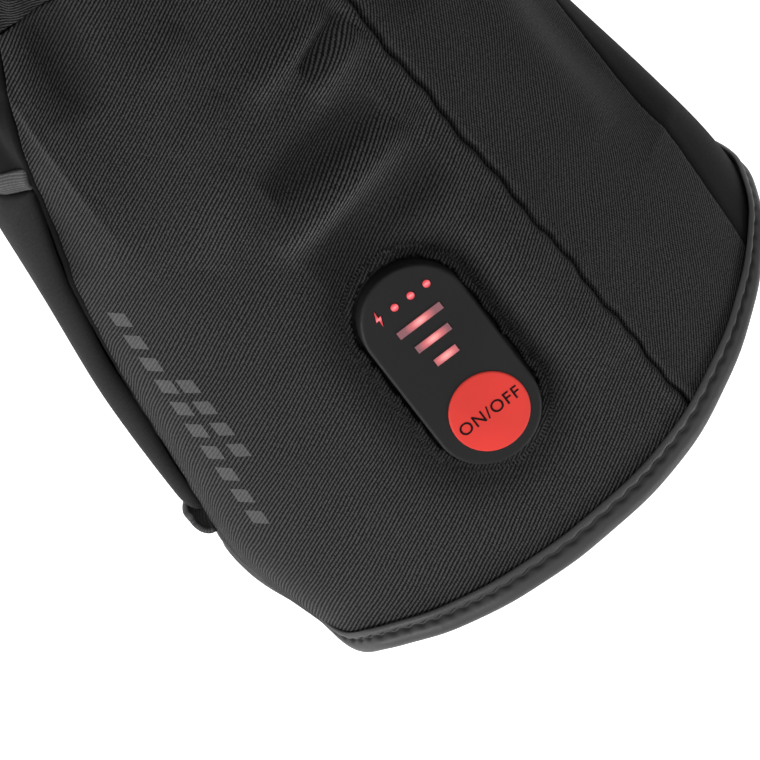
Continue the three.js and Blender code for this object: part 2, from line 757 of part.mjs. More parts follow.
function slab(shape, low, high, segments = 8) {
  return new THREE.ExtrudeGeometry(shape, {
    depth: high - low,
    bevelEnabled: false,
    curveSegments: segments,
  }).translate(0, 0, low);
}
function disc(diameter, x, y) {
  return new THREE.Shape().absarc(x, y, diameter / 2, 0, fullTurn, false);
}
function bar(length, width, x, y) {
  return new THREE.Shape([
    new THREE.Vector2(x - length / 2, y - width / 2),
    new THREE.Vector2(x + length / 2, y - width / 2),
    new THREE.Vector2(x + length / 2, y + width / 2),
    new THREE.Vector2(x - length / 2, y + width / 2),
  ]);
}
// A charging mark: a slanted two-part flash, as shares of its height about its middle.
const flashHeight = 3.4;
const flashOutline = [
  { x: 0.04, y: 0.5 },
  { x: -0.2, y: -0.08 },
  { x: -0.02, y: -0.04 },
  { x: -0.04, y: -0.5 },
  { x: 0.2, y: 0.1 },
  { x: 0.03, y: 0.06 },
];
const flash = (x, y) => new THREE.Shape(
  flashOutline.map((corner) => new THREE.Vector2(x + corner.x * flashHeight, y + corner.y * flashHeight)),
);
const flashWell = {
  x: -1.5 * lamp.pitch,
  wide: flashHeight * 0.58 + 2 * lamp.play,
  tall: flashHeight + 2 * lamp.play,
};
const lamps = [
  {
    name: "charge_flash",
    shape: (grow) => (grow > 0
      ? bar(flashWell.wide, flashWell.tall, flashWell.x, lamp.row)
      : flash(flashWell.x, lamp.row)),
  },
  ...[-0.5, 0.5, 1.5].map((step, i) => ({
    name: `level_dot_${i + 1}`,
    shape: (grow) => disc(lamp.dot + 2 * grow, step * lamp.pitch, lamp.row),
  })),
  ...bars.map(({ name, length, along }) => ({
    name,
    shape: (grow) => bar(length + 2 * grow, barWidth + 2 * grow, button.across, along),
  })),
];

const housingTop = control.proud;
const housingBottom = -cuffWall - control.sunk;
const housingBlock = new THREE.ExtrudeGeometry(
  roundEnded(control.length - 2 * control.edge, control.width - 2 * control.edge),
  {
    depth: housingTop - housingBottom - 2 * control.edge,
    bevelThickness: control.edge,
    bevelSize: control.edge,
    bevelSegments: 1,
    curveSegments: 10,
  },
).translate(0, 0, housingBottom + control.edge);
const buttonFloor = housingTop + button.proud - button.thick - button.play;
const buttonWell = disc(button.diameter + 2 * button.play, button.across, button.along);
let housing = toSolid(housingBlock)
  .subtract(toSolid(slab(buttonWell, buttonFloor, housingTop + 1, 14)));
for (const { shape } of lamps) {
  housing = housing.subtract(toSolid(slab(shape(lamp.play), housingTop - lamp.depth, housingTop + 1, 6)));
}
addMesh("control_housing", toGeometry(housing), housingRubber, controlGroup);
for (const { name, shape } of lamps) {
  addMesh(name, slab(shape(0), housingTop - lamp.depth + lamp.play, housingTop, 6), lampLens, controlGroup);
}
// The button is a low dome of soft rubber whose face gives under a finger.
const domeSteps = 2;
const domeProfile = [new THREE.Vector2(0, 0), new THREE.Vector2(button.diameter / 2, 0)];
for (let i = 0; i <= domeSteps; i += 1) {
  const out = 1 - i / domeSteps;
  domeProfile.push(new THREE.Vector2(
    (button.diameter / 2) * out,
    button.thick - button.proud * 0.6 * out ** 3,
  ));
}
addMesh(
  "power_button",
  new THREE.LatheGeometry(domeProfile, 24)
    .rotateX(Math.PI / 2)
    .translate(button.across, button.along, housingTop + button.proud - button.thick),
  redLens,
  controlGroup,
);

// The whole glove stands on the surface with its outline's middle over the origin.
const box = new THREE.Box3().setFromObject(glove);
const middle = box.getCenter(new THREE.Vector3());
glove.position.set(-middle.x, -middle.y, -box.min.z);
const part = new THREE.Group();
part.add(glove);

export default part;
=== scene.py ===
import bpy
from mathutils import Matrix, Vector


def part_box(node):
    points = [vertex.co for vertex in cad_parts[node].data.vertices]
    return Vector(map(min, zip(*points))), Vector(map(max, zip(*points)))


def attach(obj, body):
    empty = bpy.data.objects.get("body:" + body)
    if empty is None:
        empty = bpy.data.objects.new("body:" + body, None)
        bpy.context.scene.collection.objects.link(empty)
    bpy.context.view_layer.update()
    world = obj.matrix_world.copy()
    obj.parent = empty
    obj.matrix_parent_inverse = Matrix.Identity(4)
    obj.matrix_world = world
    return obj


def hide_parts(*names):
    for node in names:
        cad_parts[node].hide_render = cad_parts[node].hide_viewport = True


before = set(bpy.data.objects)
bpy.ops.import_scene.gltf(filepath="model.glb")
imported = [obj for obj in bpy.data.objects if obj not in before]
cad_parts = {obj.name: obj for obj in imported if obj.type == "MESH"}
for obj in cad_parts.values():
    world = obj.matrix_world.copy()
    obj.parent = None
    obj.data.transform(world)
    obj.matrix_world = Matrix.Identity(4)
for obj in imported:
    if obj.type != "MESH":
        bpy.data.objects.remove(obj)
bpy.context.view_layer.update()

# The cuff is cut from three padded panels: twill on the back and on the far side, and a smooth
# woven cloth round the palm side. They are sewn edge to edge with the seams turned in, and the
# wadding pulls soft folds into them towards the gathered wrist.
import math
import random
import bpy
import bmesh
import numpy as np
from functools import lru_cache
from mathutils import Matrix, Vector

MM = 0.001
cuff_length = 139.0
elastic_width = 18.0
hand_length = 90.0
hem_setback = 28.0
cuff_width, cuff_height = 119.0, 61.0
wrist_width, wrist_height = 85.0, 46.0
hand_width, knuckle_height = 110.0, 35.0
hand_start = cuff_length + elastic_width
finger_start = hand_start + hand_length
cuff_wall, seam_gap = 3.0, 0.3
middle_share, slump = 0.47, 1.1
# From the middle of the cuff's hem to the frame's origin, which is under the middle of the outline.
wrist_low, wrist_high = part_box("wrist_elastic")
frame_shift = Vector((
    (wrist_low.x + wrist_high.x) / 2 / MM,
    wrist_low.y / MM - cuff_length - seam_gap / 2,
    0.0,
))

cuff_outline = [
    dict(stretch="cuff", share=0.0, flare=0.84, rise=0.93, lift=0.0, square=2.1),
    dict(stretch="cuff", share=0.18, flare=1.0, rise=1.0, lift=0.0, square=2.1),
    dict(stretch="cuff", share=0.36, flare=0.85, rise=1.0, lift=0.0, square=2.1),
    dict(stretch="cuff", share=0.58, flare=0.67, rise=0.84, lift=0.0, square=2.1),
    dict(stretch="cuff", share=0.84, flare=0.47, rise=0.42, lift=0.03, square=2.1),
    dict(stretch="cuff", share=1.0, flare=0.1, rise=0.1, lift=0.03, square=2.1),
    dict(stretch="hand", share=-0.1, flare=0.0, rise=0.0, lift=0.03, square=2.1),
    dict(stretch="hand", share=0.06, flare=0.14, rise=0.0, lift=0.0, square=2.2),
    dict(stretch="hand", share=0.26, flare=0.5, rise=0.01, lift=0.0, square=2.3),
    dict(stretch="hand", share=0.7, flare=0.96, rise=0.35, lift=0.0, square=2.8),
    dict(stretch="hand", share=1.0, flare=1.0, rise=1.0, lift=0.0, square=3.2),
]
stretches = {
    "cuff": (0.0, cuff_length, cuff_width, cuff_height),
    "hand": (hand_start, hand_length, hand_width, knuckle_height),
}


def mix(a, b, t):
    return a + (b - a) * t


def clamp(value, low, high):
    return max(low, min(high, value))


def signed_power(value, power):
    return math.copysign(abs(value) ** power, value)


def smooth_step(value, low, high):
    t = clamp((value - low) / (high - low), 0.0, 1.0)
    return t * t * (3 - 2 * t)


def curve_through(rows, key, at):
    last = len(rows) - 1
    x = clamp(at, rows[0]["at"], rows[last]["at"])
    i = 0
    while i < last - 1 and x > rows[i + 1]["at"]:
        i += 1

    def slope(k):
        a, b = rows[max(k - 1, 0)], rows[min(k + 1, last)]
        return (b[key] - a[key]) / (b["at"] - a["at"])

    span = rows[i + 1]["at"] - rows[i]["at"]
    t = (x - rows[i]["at"]) / span
    bend = t * t * (3 - 2 * t)
    lean = span * t * (1 - t)
    return (mix(rows[i][key], rows[i + 1][key], bend)
            + lean * ((1 - t) * slope(i) - t * slope(i + 1)))


stations = []
for row in cuff_outline:
    start, length, width, height = stretches[row["stretch"]]
    stations.append(dict(
        at=start + row["share"] * length,
        half=mix(wrist_width, width, row["flare"]) / 2,
        height=mix(wrist_height, height, row["rise"]),
        lift=row["lift"] * wrist_height,
        square=row["square"],
    ))


@lru_cache(maxsize=None)
def section_at(y):
    height = curve_through(stations, "height", y)
    middle = height * middle_share
    return (curve_through(stations, "half", y), curve_through(stations, "lift", y),
            curve_through(stations, "square", y), middle, height - middle, middle * slump)


# Folds of the cuff, as shares of half its width across and of its length from the hem; width
# and height are shares of the cuff's width, and the last number, where given, says how much painted
# highlight lightens a fold's crest.
cuff_folds = [
    dict(x0=-0.63, y0=1.03, x1=-0.65, y1=0.63, width=0.055, height=0.017),
    dict(x0=-0.62, y0=1.03, x1=-0.65, y1=0.69, width=0.009, height=0.008, crest_highlight=0.6),
    dict(x0=-0.8, y0=0.92, x1=-0.86, y1=0.66, width=0.055, height=-0.016),
    dict(x0=-0.4, y0=1.02, x1=-0.52, y1=0.86, width=0.04, height=-0.022),
    dict(x0=-0.08, y0=0.755, x1=0.26, y1=0.782, width=0.022, height=0.021, crest_highlight=1.6),
    dict(x0=0.08, y0=0.744, x1=0.3, y1=0.772, width=0.016, height=-0.018),
    dict(x0=0.06, y0=0.708, x1=0.3, y1=0.735, width=0.022, height=0.022, crest_highlight=1.3),
    dict(x0=-0.22, y0=0.64, x1=0.23, y1=0.65, width=0.034, height=-0.022),
    dict(x0=0.23, y0=0.604, x1=-0.3, y1=0.568, width=0.024, height=0.031, crest_highlight=2.4),
    dict(x0=-0.26, y0=0.525, x1=0.28, y1=0.54, width=0.04, height=-0.018),
    dict(x0=-0.5, y0=0.6, x1=-0.25, y1=0.7, width=0.05, height=0.008, crest_highlight=0.5),
    dict(x0=0.82, y0=0.62, x1=0.88, y1=0.34, width=0.05, height=-0.022),
    dict(x0=0.7, y0=0.66, x1=0.76, y1=0.4, width=0.05, height=0.01),
    dict(x0=0.27, y0=0.46, x1=0.3, y1=0.16, width=0.055, height=0.015),
    dict(x0=-0.3, y0=0.84, x1=-0.12, y1=0.88, width=0.025, height=0.009),
    dict(x0=-0.36, y0=0.74, x1=-0.14, y1=0.78, width=0.025, height=0.008),
    dict(x0=0.44, y0=0.95, x1=0.5, y1=0.7, width=0.03, height=-0.01),
]
blunt_end, end_taper, side_fade = 0.02, 0.6, 2.5
control_length, control_width = 43.3, 21.0
control_x, control_y = -0.095 * cuff_width / 2, 0.312 * cuff_length
control_turn = math.radians(0.6)
dent_depth, dent_away, dent_width = 1.5, 2.0, 4.5


def away_from_control(x, y):
    dx, dy = x - control_x, y - control_y
    across = dx * math.cos(control_turn) + dy * math.sin(control_turn)
    along = -dx * math.sin(control_turn) + dy * math.cos(control_turn)
    straight = (control_length - control_width) / 2
    return math.hypot(across, max(abs(along) - straight, 0)) - control_width / 2


def fold_share(fold, x, y):
    """How much of a fold's height a place takes; it fades towards the fold's ends."""
    x0, x1 = fold["x0"] * cuff_width / 2, fold["x1"] * cuff_width / 2
    y0, y1 = fold["y0"] * cuff_length, fold["y1"] * cuff_length
    run = (x1 - x0) ** 2 + (y1 - y0) ** 2
    t = clamp(((x - x0) * (x1 - x0) + (y - y0) * (y1 - y0)) / run, 0, 1)
    away = math.hypot(x - mix(x0, x1, t), y - mix(y0, y1, t))
    taper = (4 * t * (1 - t) + blunt_end) ** end_taper
    return taper * math.exp(-((away / (fold["width"] * cuff_width)) ** 2))


def relief(x, y, upper):
    if upper <= 0:
        return 0.0
    height = sum(fold["height"] * cuff_width * fold_share(fold, x, y) for fold in cuff_folds)
    ring = (max(away_from_control(x, y), 0) - dent_away) / dent_width
    height -= dent_depth * math.exp(-(ring ** 2))
    return height * min(1, upper * side_fade)


# Where the real cuff stands out or draws in from its plain outline, in millimetres.
outline_touches = [
    dict(y=42, turn=8, spread=20, reach=34, out=1.3),
    dict(y=95, turn=5, spread=26, reach=34, out=-2.0),
    dict(y=8, turn=168, spread=17, reach=14, out=-1.7),
]


def outline_touch(y, turn):
    out = 0.0
    for touch in outline_touches:
        away = (math.degrees(turn) - touch["turn"] + 180) % 360 - 180
        out += touch["out"] * math.exp(-((y - touch["y"]) / touch["spread"]) ** 2
                                       - (away / touch["reach"]) ** 2)
    return out


def painted_fold_shade(x, y, upper):
    """Painted shade and highlight: less than 0 in the hollows, which are painted dark, and more on the
    crests, which are painted pale.
    """
    crest_highlight = sum(fold.get("crest_highlight", 0) * fold_share(fold, x, y) for fold in cuff_folds)
    return clamp(min(relief(x, y, upper), 0) + crest_highlight, -1.2, 3.0)


# The rolled binding holds the cloth off the floor at the hem, less and less between these places.
hem_lift, lift_from, lift_to = 1.9, 34, 64


def body_point(y, turn, raised):
    """A place this far outside the glove's outline, at a length from the hem and a turn round it."""
    raised += outline_touch(y, turn)
    half, lift, square, middle, up, down = section_at(y)
    c = signed_power(math.cos(turn), 2 / square)
    s = signed_power(math.sin(turn), 2 / square)
    tall = up if s > 0 else down
    nx, nz = signed_power(c, square - 1) / half, signed_power(s, square - 1) / tall
    size = math.hypot(nx, nz)
    x = half * c
    out = raised + relief(x, y, s)
    lowest = hem_lift * (1 - smooth_step(y, lift_from, lift_to)) - raised
    z = max(lift + middle + tall * s + nz / size * out, lowest, 0.0)
    return Vector((x + nx / size * out, y, z))


def turn_over(x, y):
    """The turn at which the outline's upper side lies over a place across the glove."""
    half, _, square = section_at(y)[:3]
    return math.acos(signed_power(clamp(x / half, -1, 1), square / 2))


def turn_for(distance, y, turn):
    """The turn that a distance round the outline takes."""
    half, _, _, _, up, _ = section_at(y)
    return distance / math.hypot(half * math.sin(turn), up * math.cos(turn))


hem_cut = [dict(at=at, back=back) for at, back in (
    (-45, 1.1), (0, 0.97), (30, 0.62), (50, 0.34), (72, 0.09), (95, 0.0), (119, 0.02),
    (145, 0.12), (156, 0.12), (165, 0.24), (175, 0.62), (186, 1.0), (225, 1.08), (270, 1.12), (315, 1.1))]


def hem_at(turn):
    """How far the slanting hem lies from the cuff's longest place."""
    return hem_setback * curve_through(hem_cut, "back", (math.degrees(turn) + 45) % 360 - 45)


thumb_seam = [dict(at=at, turn=turn) for at, turn in (
    (0.0, 186), (0.17, 181), (0.34, 177), (0.5, 173), (0.62, 166), (0.74, 157), (0.86, 147),
    (1.0, 138))]
far_seam = [dict(at=at, turn=turn) for at, turn in (
    (0.0, 28), (0.14, 30), (0.25, 29), (0.4, 21), (0.55, 12), (0.75, -1), (1.0, -12))]
back_seam_hem, back_seam_wrist = 0.425, 0.3


def thumb_seam_at(y):
    return math.radians(curve_through(thumb_seam, "turn", y / cuff_length))


def far_seam_at(y):
    return math.radians(curve_through(far_seam, "turn", y / cuff_length))


def back_seam_at(y):
    """The seam along the back, which wanders a little, as a sewn line does."""
    across = mix(back_seam_hem, back_seam_wrist, y / cuff_length) * cuff_width / 2
    return turn_over(across + 0.25 * math.sin(y * 0.31) + 0.15 * math.sin(y * 0.9), y)


def take_up(*pieces):
    """Selects these pieces alone, the first of them active."""
    bpy.ops.object.select_all(action="DESELECT")
    for piece in pieces:
        piece.select_set(True)
    bpy.context.view_layer.objects.active = pieces[0]


def plain_grid(name, columns, rows):
    """A square grid of faces, selected by itself, that is shaped into cloth afterwards."""
    bpy.ops.object.select_all(action="DESELECT")
    bpy.ops.mesh.primitive_grid_add(x_subdivisions=columns, y_subdivisions=rows, size=1,
                                    calc_uvs=True)
    piece = bpy.context.object
    piece.name = piece.data.name = name
    return piece


def shape_grid(piece, point, wrapped=False):
    """Moves a grid's points to the cloth's place, and makes its UV map real millimetres."""
    mesh = piece.data
    places = [(round(v.co.x + 0.5, 6), round(v.co.y + 0.5, 6)) for v in mesh.vertices]
    us = sorted({u for u, _ in places})
    vs = sorted({v for _, v in places})
    column = {u: i for i, u in enumerate(us)}
    row = {v: i for i, v in enumerate(vs)}
    net = np.zeros((len(vs), len(us), 3))
    for (u, v), vertex in zip(places, mesh.vertices):
        at = point(u, v)
        net[row[v], column[u]] = at
        vertex.co = (at + frame_shift) * MM
    steps = np.linalg.norm(np.diff(net, axis=1), axis=2)
    girth = np.concatenate([np.zeros((len(vs), 1)), np.cumsum(steps, axis=1)], axis=1)
    girth -= girth[:, len(us) // 2:len(us) // 2 + 1]
    layer = mesh.uv_layers.active.data
    for loop, corner in zip(mesh.loops, layer):
        u, v = places[loop.vertex_index]
        corner.uv = (girth[row[v], column[u]], net[row[v], column[u]][1])
    if wrapped:
        bpy.ops.object.mode_set(mode="EDIT")
        bpy.ops.mesh.select_all(action="SELECT")
        bpy.ops.mesh.remove_doubles(threshold=1e-6)
        bpy.ops.object.mode_set(mode="OBJECT")


def face_outward():
    """Turns the faces of the piece in hand outwards."""
    bpy.ops.object.mode_set(mode="EDIT")
    bpy.ops.mesh.select_all(action="SELECT")
    bpy.ops.mesh.normals_make_consistent(inside=False)
    bpy.ops.object.mode_set(mode="OBJECT")


def apply_modifier(piece, kind, **settings):
    take_up(piece)
    modifier = piece.modifiers.new(kind.lower(), kind)
    for key, value in settings.items():
        setattr(modifier, key, value)
    bpy.ops.object.modifier_apply(modifier=modifier.name)


def smooth_faces(piece):
    piece.data.polygons.foreach_set("use_smooth", [True] * len(piece.data.polygons))
    piece.data.update()


def maths(tree, kind, *parts):
    """A Math node's output; each part is a number or another node's output."""
    node = tree.nodes.new("ShaderNodeMath")
    node.operation = kind
    for socket, part in zip(node.inputs, parts):
        if isinstance(part, (int, float)):
            socket.default_value = part
        else:
            tree.links.new(part, socket)
    return node.outputs["Value"]


def noise(tree, place, **settings):
    """A Noise Texture's output, read at a place."""
    node = tree.nodes.new("ShaderNodeTexNoise")
    tree.links.new(place, node.inputs["Vector"])
    for name, value in settings.items():
        node.inputs[name].default_value = value
    return node


def blend_colors(tree, share, first, second):
    """A Mix node between two colours, each a value or another node's output."""
    node = tree.nodes.new("ShaderNodeMix")
    node.data_type = "RGBA"
    tree.links.new(share, node.inputs["Factor"])
    for socket, color in ((node.inputs["A"], first), (node.inputs["B"], second)):
        if isinstance(color, tuple):
            socket.default_value = (*color, 1)
        else:
            tree.links.new(color, socket)
    return node.outputs["Result"]


def new_group(name, inputs, outputs):
    """An empty shader group with these sockets, and its two end nodes."""
    group = bpy.data.node_groups.new(name, "ShaderNodeTree")
    for way, sockets in (("INPUT", inputs), ("OUTPUT", outputs)):
        for socket, kind in sockets.items():
            group.interface.new_socket(socket, in_out=way, socket_type="NodeSocket" + kind)
    return group, group.nodes.new("NodeGroupInput").outputs, group.nodes.new("NodeGroupOutput").inputs


# The weave: fine diagonal wales with a broken edge where the threads cross, as on hard shell
# cloth, with loose fibres and uneven dye. Painted highlight lightens the wales' tops and painted shade
# darkens the grooves between them, and in the same way the crests of the folds are painted pale and their
# hollows dark.
wander_scale, wander_amount = 0.05, 1.6
threads_a_wale, thread_offset, break_depth = 1.2, 0.5, 0.42
fibre_scale, fibre_amount = 1.7, 1.7
dye_scale, dye_amount = 0.07, 0.35
# the colour follows the wales' height: painted highlight on their tops, painted shade in the grooves
wale_shade_contrast, wale_shade_middle = 1.9, 0.42
# how far painted shade darkens the folds' hollows and painted highlight lightens their crests
fold_shade_strength = 0.3


def weave_group():
    group, given, made = new_group(
        "shell_weave",
        dict(Place="Vector", Angle="Float", Pitch="Float", Dark="Color", Light="Color", Painted_Fold_Shade="Float"),
        dict(Color="Color", Height="Float", Roughness="Float"))
    turn = group.nodes.new("ShaderNodeVectorRotate")
    turn.rotation_type = "Z_AXIS"
    group.links.new(given["Place"], turn.inputs["Vector"])
    group.links.new(given["Angle"], turn.inputs["Angle"])
    split = group.nodes.new("ShaderNodeSeparateXYZ")
    group.links.new(turn.outputs["Vector"], split.inputs["Vector"])

    def unevenness(scale, amount, detail, **settings):
        field = noise(group, given["Place"], Scale=scale, Detail=detail, **settings).outputs["Fac"]
        return maths(group, "MULTIPLY", maths(group, "SUBTRACT", field, 0.5), amount)

    leaning = maths(group, "ADD", split.outputs["X"], unevenness(wander_scale, wander_amount, 2))
    wale_place = maths(group, "DIVIDE", leaning, given["Pitch"])
    wale = maths(group, "COSINE", maths(group, "MULTIPLY", wale_place, 2 * math.pi))
    thread_place = maths(group, "DIVIDE", split.outputs["Y"], given["Pitch"])
    thread_place = maths(group, "ADD", maths(group, "MULTIPLY", thread_place, threads_a_wale),
                         maths(group, "MULTIPLY", wale_place, thread_offset))
    thread = maths(group, "COSINE", maths(group, "MULTIPLY", thread_place, 2 * math.pi))
    ridge = maths(group, "MULTIPLY_ADD", wale, 0.5, 0.5)
    broken = maths(group, "MULTIPLY", maths(group, "MULTIPLY_ADD", thread, 0.5, 0.5), break_depth)
    height = maths(group, "SUBTRACT", ridge, maths(group, "MULTIPLY", broken, ridge))
    height = maths(group, "ADD", height, unevenness(fibre_scale, fibre_amount, 4, Roughness=0.75))
    # painted highlight on the wales' tops and painted shade in the grooves between them, before the dye's
    # unevenness is added
    wale_shading = maths(group, "MULTIPLY_ADD", maths(group, "SUBTRACT", height, wale_shade_middle), wale_shade_contrast,
                   wale_shade_middle)
    tone = maths(group, "ADD", unevenness(dye_scale, dye_amount, 3), wale_shading)
    # painted shade and highlight: the colour is scaled down in the folds' hollows and up on their crests
    fold_shaded = group.nodes.new("ShaderNodeVectorMath")
    fold_shaded.operation = "SCALE"
    group.links.new(blend_colors(group, tone, given["Dark"], given["Light"]), fold_shaded.inputs["Vector"])
    group.links.new(maths(group, "MULTIPLY_ADD", given["Painted_Fold_Shade"], fold_shade_strength, 1.0), fold_shaded.inputs["Scale"])
    group.links.new(fold_shaded.outputs["Vector"], made["Color"])
    group.links.new(height, made["Height"])
    group.links.new(maths(group, "MULTIPLY_ADD", height, -0.15, 0.88), made["Roughness"])
    return group


shell_weave = weave_group()


def cloth_material(name, dark, light, lie, pitch, bump, sheen=0.0, specular=0.22):
    """Woven cloth that reads the piece's UV map, in millimetres, and its crease attribute, which holds
    painted shade for the hollows of its folds and painted highlight for their crests.
    """
    material = bpy.data.materials.new(name)
    material.use_nodes = True
    nodes, links = material.node_tree.nodes, material.node_tree.links
    shader = nodes["Principled BSDF"]
    shader.inputs["Sheen Weight"].default_value = sheen
    shader.inputs["Sheen Roughness"].default_value = 0.5
    shader.inputs["Specular IOR Level"].default_value = specular
    weave = nodes.new("ShaderNodeGroup")
    weave.node_tree = shell_weave
    weave.name = "weave"
    weave.inputs["Angle"].default_value = math.radians(90 - lie)
    weave.inputs["Pitch"].default_value = pitch
    weave.inputs["Dark"].default_value = (*dark, 1)
    weave.inputs["Light"].default_value = (*light, 1)
    links.new(nodes.new("ShaderNodeTexCoord").outputs["UV"], weave.inputs["Place"])
    # the crease attribute scales the colour as painted shade in fold hollows and painted highlight on
    # crests
    crease = nodes.new("ShaderNodeAttribute")
    crease.attribute_name = "crease"
    links.new(crease.outputs["Fac"], weave.inputs["Painted_Fold_Shade"])
    threads = nodes.new("ShaderNodeBump")
    threads.inputs["Distance"].default_value = bump * MM
    threads.inputs["Strength"].default_value = 0.8
    links.new(weave.outputs["Height"], threads.inputs["Height"])
    links.new(threads.outputs["Normal"], shader.inputs["Normal"])
    links.new(weave.outputs["Roughness"], shader.inputs["Roughness"])
    links.new(weave.outputs["Color"], shader.inputs["Base Color"])
    return material


# Each cloth's colour runs from dark, painted shade in the grooves between the wales, to light, painted
# highlight on their tops.
twill = dict(dark=(0.0015, 0.0015, 0.0015), light=(0.06, 0.06, 0.061), lie=30, pitch=0.69, bump=0.17)
smooth_cloth = dict(lie=38, pitch=0.3, bump=0.02)
back_twill = cloth_material("back_twill", **twill)
side_twill = cloth_material("side_twill", (0.003, 0.003, 0.003), (0.05, 0.05, 0.051), 55, 0.58, 0.12)
# The palm side's smooth cloth is the pouch's cloth painted darker, as painted shade, because it turns
# away from the light on the far side.
shaded_palm_cloth = cloth_material("shaded_palm_cloth", (0.0035, 0.0035, 0.0035), (0.0075, 0.0075, 0.0076),
                            specular=0.14, **smooth_cloth)
fleece = cloth_material("fleece_lining", (0.003, 0.003, 0.003), (0.02, 0.02, 0.0205), 0, 1.9, 0.6,
                        sheen=0.1)

# Beside a seam: how deep and wide the cloth turns in, how high it stands, and how far it puckers.
sharp_seam = dict(tuck=1.5, roll=0.7, ridge=0.3, pucker=0.12)
soft_seam = dict(tuck=0.3, roll=0.7, ridge=0.05, pucker=0.03)
ridge_away, ridge_width, pucker_reach = 2.0, 1.3, 2.2
panel_overlap, gather_depth, gather_ribs = 0.2, 0.55, 17


def seam_shape(seam, away, y):
    pucker = seam["pucker"] * (math.sin(y * 2.1 + 3 * math.sin(y * 0.37)) + math.sin(y * 0.9 + 1))
    return (seam["ridge"] * math.exp(-((away - ridge_away) / ridge_width) ** 2)
            + pucker * math.exp(-away / pucker_reach)
            - seam["tuck"] * math.exp(-((away / seam["roll"]) ** 2)))


def panel_point(right, left, girth, right_seam, left_seam):
    """Shapes a panel between two seams. The hem's place hangs on the turn, so it is tried again."""
    def point(u, v):
        turn, y = math.pi / 2, 0.0
        for _ in range(4):
            first = right(y) - turn_for(panel_overlap, y, right(y))
            second = left(y) + turn_for(panel_overlap, y, left(y))
            turn = mix(first, second, 1 - u)
            y = mix(hem_at(turn), cuff_length - seam_gap / 2, v)
        sewn = seam_shape(left_seam, u * girth, y) + seam_shape(right_seam, (1 - u) * girth, y)
        toward_wrist = smooth_step(y, cuff_length * 0.72, cuff_length)
        uneven = turn * gather_ribs + 1.7 * math.sin(turn * 5)
        gather = gather_depth * toward_wrist * math.sin(uneven)
        return body_point(y, turn, sewn + gather)
    return point


cuff_panels = [
    dict(name="cuff_back_panel", node="cuff_back", right=back_seam_at, left=thumb_seam_at, girth=128,
         columns=200, rows=200, cloth=back_twill, right_seam=sharp_seam, left_seam=sharp_seam),
    dict(name="cuff_side_panel", node="cuff_side", right=far_seam_at, left=back_seam_at,
         girth=44, columns=80, rows=200, cloth=side_twill, right_seam=soft_seam,
         left_seam=sharp_seam),
    dict(name="cuff_palm_panel", node="cuff_palm", right=thumb_seam_at,
         left=lambda y: far_seam_at(y) + 2 * math.pi, girth=170, columns=170, rows=120,
         cloth=shaded_palm_cloth, right_seam=sharp_seam, left_seam=soft_seam),
]
cut_room = 0.7
for panel in cuff_panels:
    piece = plain_grid(panel["name"], panel["columns"], panel["rows"])
    shape_grid(piece, panel_point(panel["right"], panel["left"], panel["girth"],
                                  panel["right_seam"], panel["left_seam"]))
    # the crease attribute is painted shade and highlight: dark in the folds' hollows and the dent round
    # the control, pale on the crests
    crease = piece.data.attributes.new("crease", "FLOAT", "POINT")
    for vertex, mark in zip(piece.data.vertices, crease.data):
        at = vertex.co / MM - frame_shift
        height = section_at(round(at.y, 3))
        mark.value = painted_fold_shade(at.x, at.y, at.z - height[1] - height[3])
    if panel["node"] == "cuff_back":
        # the cloth is cut away where the control goes through
        bpy.ops.object.mode_set(mode="EDIT")
        edit = bmesh.from_edit_mesh(piece.data)
        for face in edit.faces:
            at = face.calc_center_median() / MM - frame_shift
            face.select_set(away_from_control(at.x, at.y) < cut_room)
        bmesh.update_edit_mesh(piece.data)
        bpy.ops.mesh.delete(type="FACE")
        bpy.ops.object.mode_set(mode="OBJECT")
    piece.data.materials.append(panel["cloth"])
    piece.data.materials.append(fleece)
    apply_modifier(piece, "SOLIDIFY", thickness=cuff_wall * MM, offset=-1, material_offset=1,
                   use_even_offset=False)
    smooth_faces(piece)
    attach(piece, "root")
    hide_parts(panel["node"])

# Beside the thumb-side seam the back carries two rows of plain slanted dashes in grey reflective
# print, which lie along the cuff. They are a thin ink film, so the weave still shows through.
print_rows = [
    dict(across=-46.0, drift=0.0, start=49.0, length=20.4),
    dict(across=-51.3, drift=0.065, start=35.0, length=51.0),
]
dash_pitch, dash_share, dash_height, dash_slant = 5.1, 0.6, 2.5, 0.45
printed = back_twill.node_tree
laid = printed.nodes.new("ShaderNodeMapping")
laid.inputs["Scale"].default_value = (1000, 1000, 1000)
laid.inputs["Location"].default_value = -frame_shift
printed.links.new(printed.nodes.new("ShaderNodeTexCoord").outputs["Object"], laid.inputs["Vector"])
axes = printed.nodes.new("ShaderNodeSeparateXYZ")
printed.links.new(laid.outputs["Vector"], axes.inputs["Vector"])
ink = 0.0
for line in print_rows:
    along = maths(printed, "SUBTRACT", axes.outputs["Y"], line["start"])
    side = maths(printed, "SUBTRACT", axes.outputs["X"], line["across"])
    side = maths(printed, "SUBTRACT", side, maths(printed, "MULTIPLY", along, line["drift"]))
    slanted = maths(printed, "ADD", along, maths(printed, "MULTIPLY", side, dash_slant))
    step = maths(printed, "FRACT", maths(printed, "DIVIDE", slanted, dash_pitch))
    inside = maths(printed, "LESS_THAN", maths(printed, "ABSOLUTE", side), dash_height / 2)
    for bound in (maths(printed, "GREATER_THAN", slanted, 0),
                  maths(printed, "LESS_THAN", slanted, line["length"]),
                  maths(printed, "LESS_THAN", step, dash_share)):
        inside = maths(printed, "MULTIPLY", inside, bound)
    ink = maths(printed, "MAXIMUM", ink, inside)
weave = printed.nodes["weave"]
ink = maths(printed, "MULTIPLY", ink, maths(printed, "MULTIPLY_ADD", weave.outputs["Height"], 0.4, 0.5))
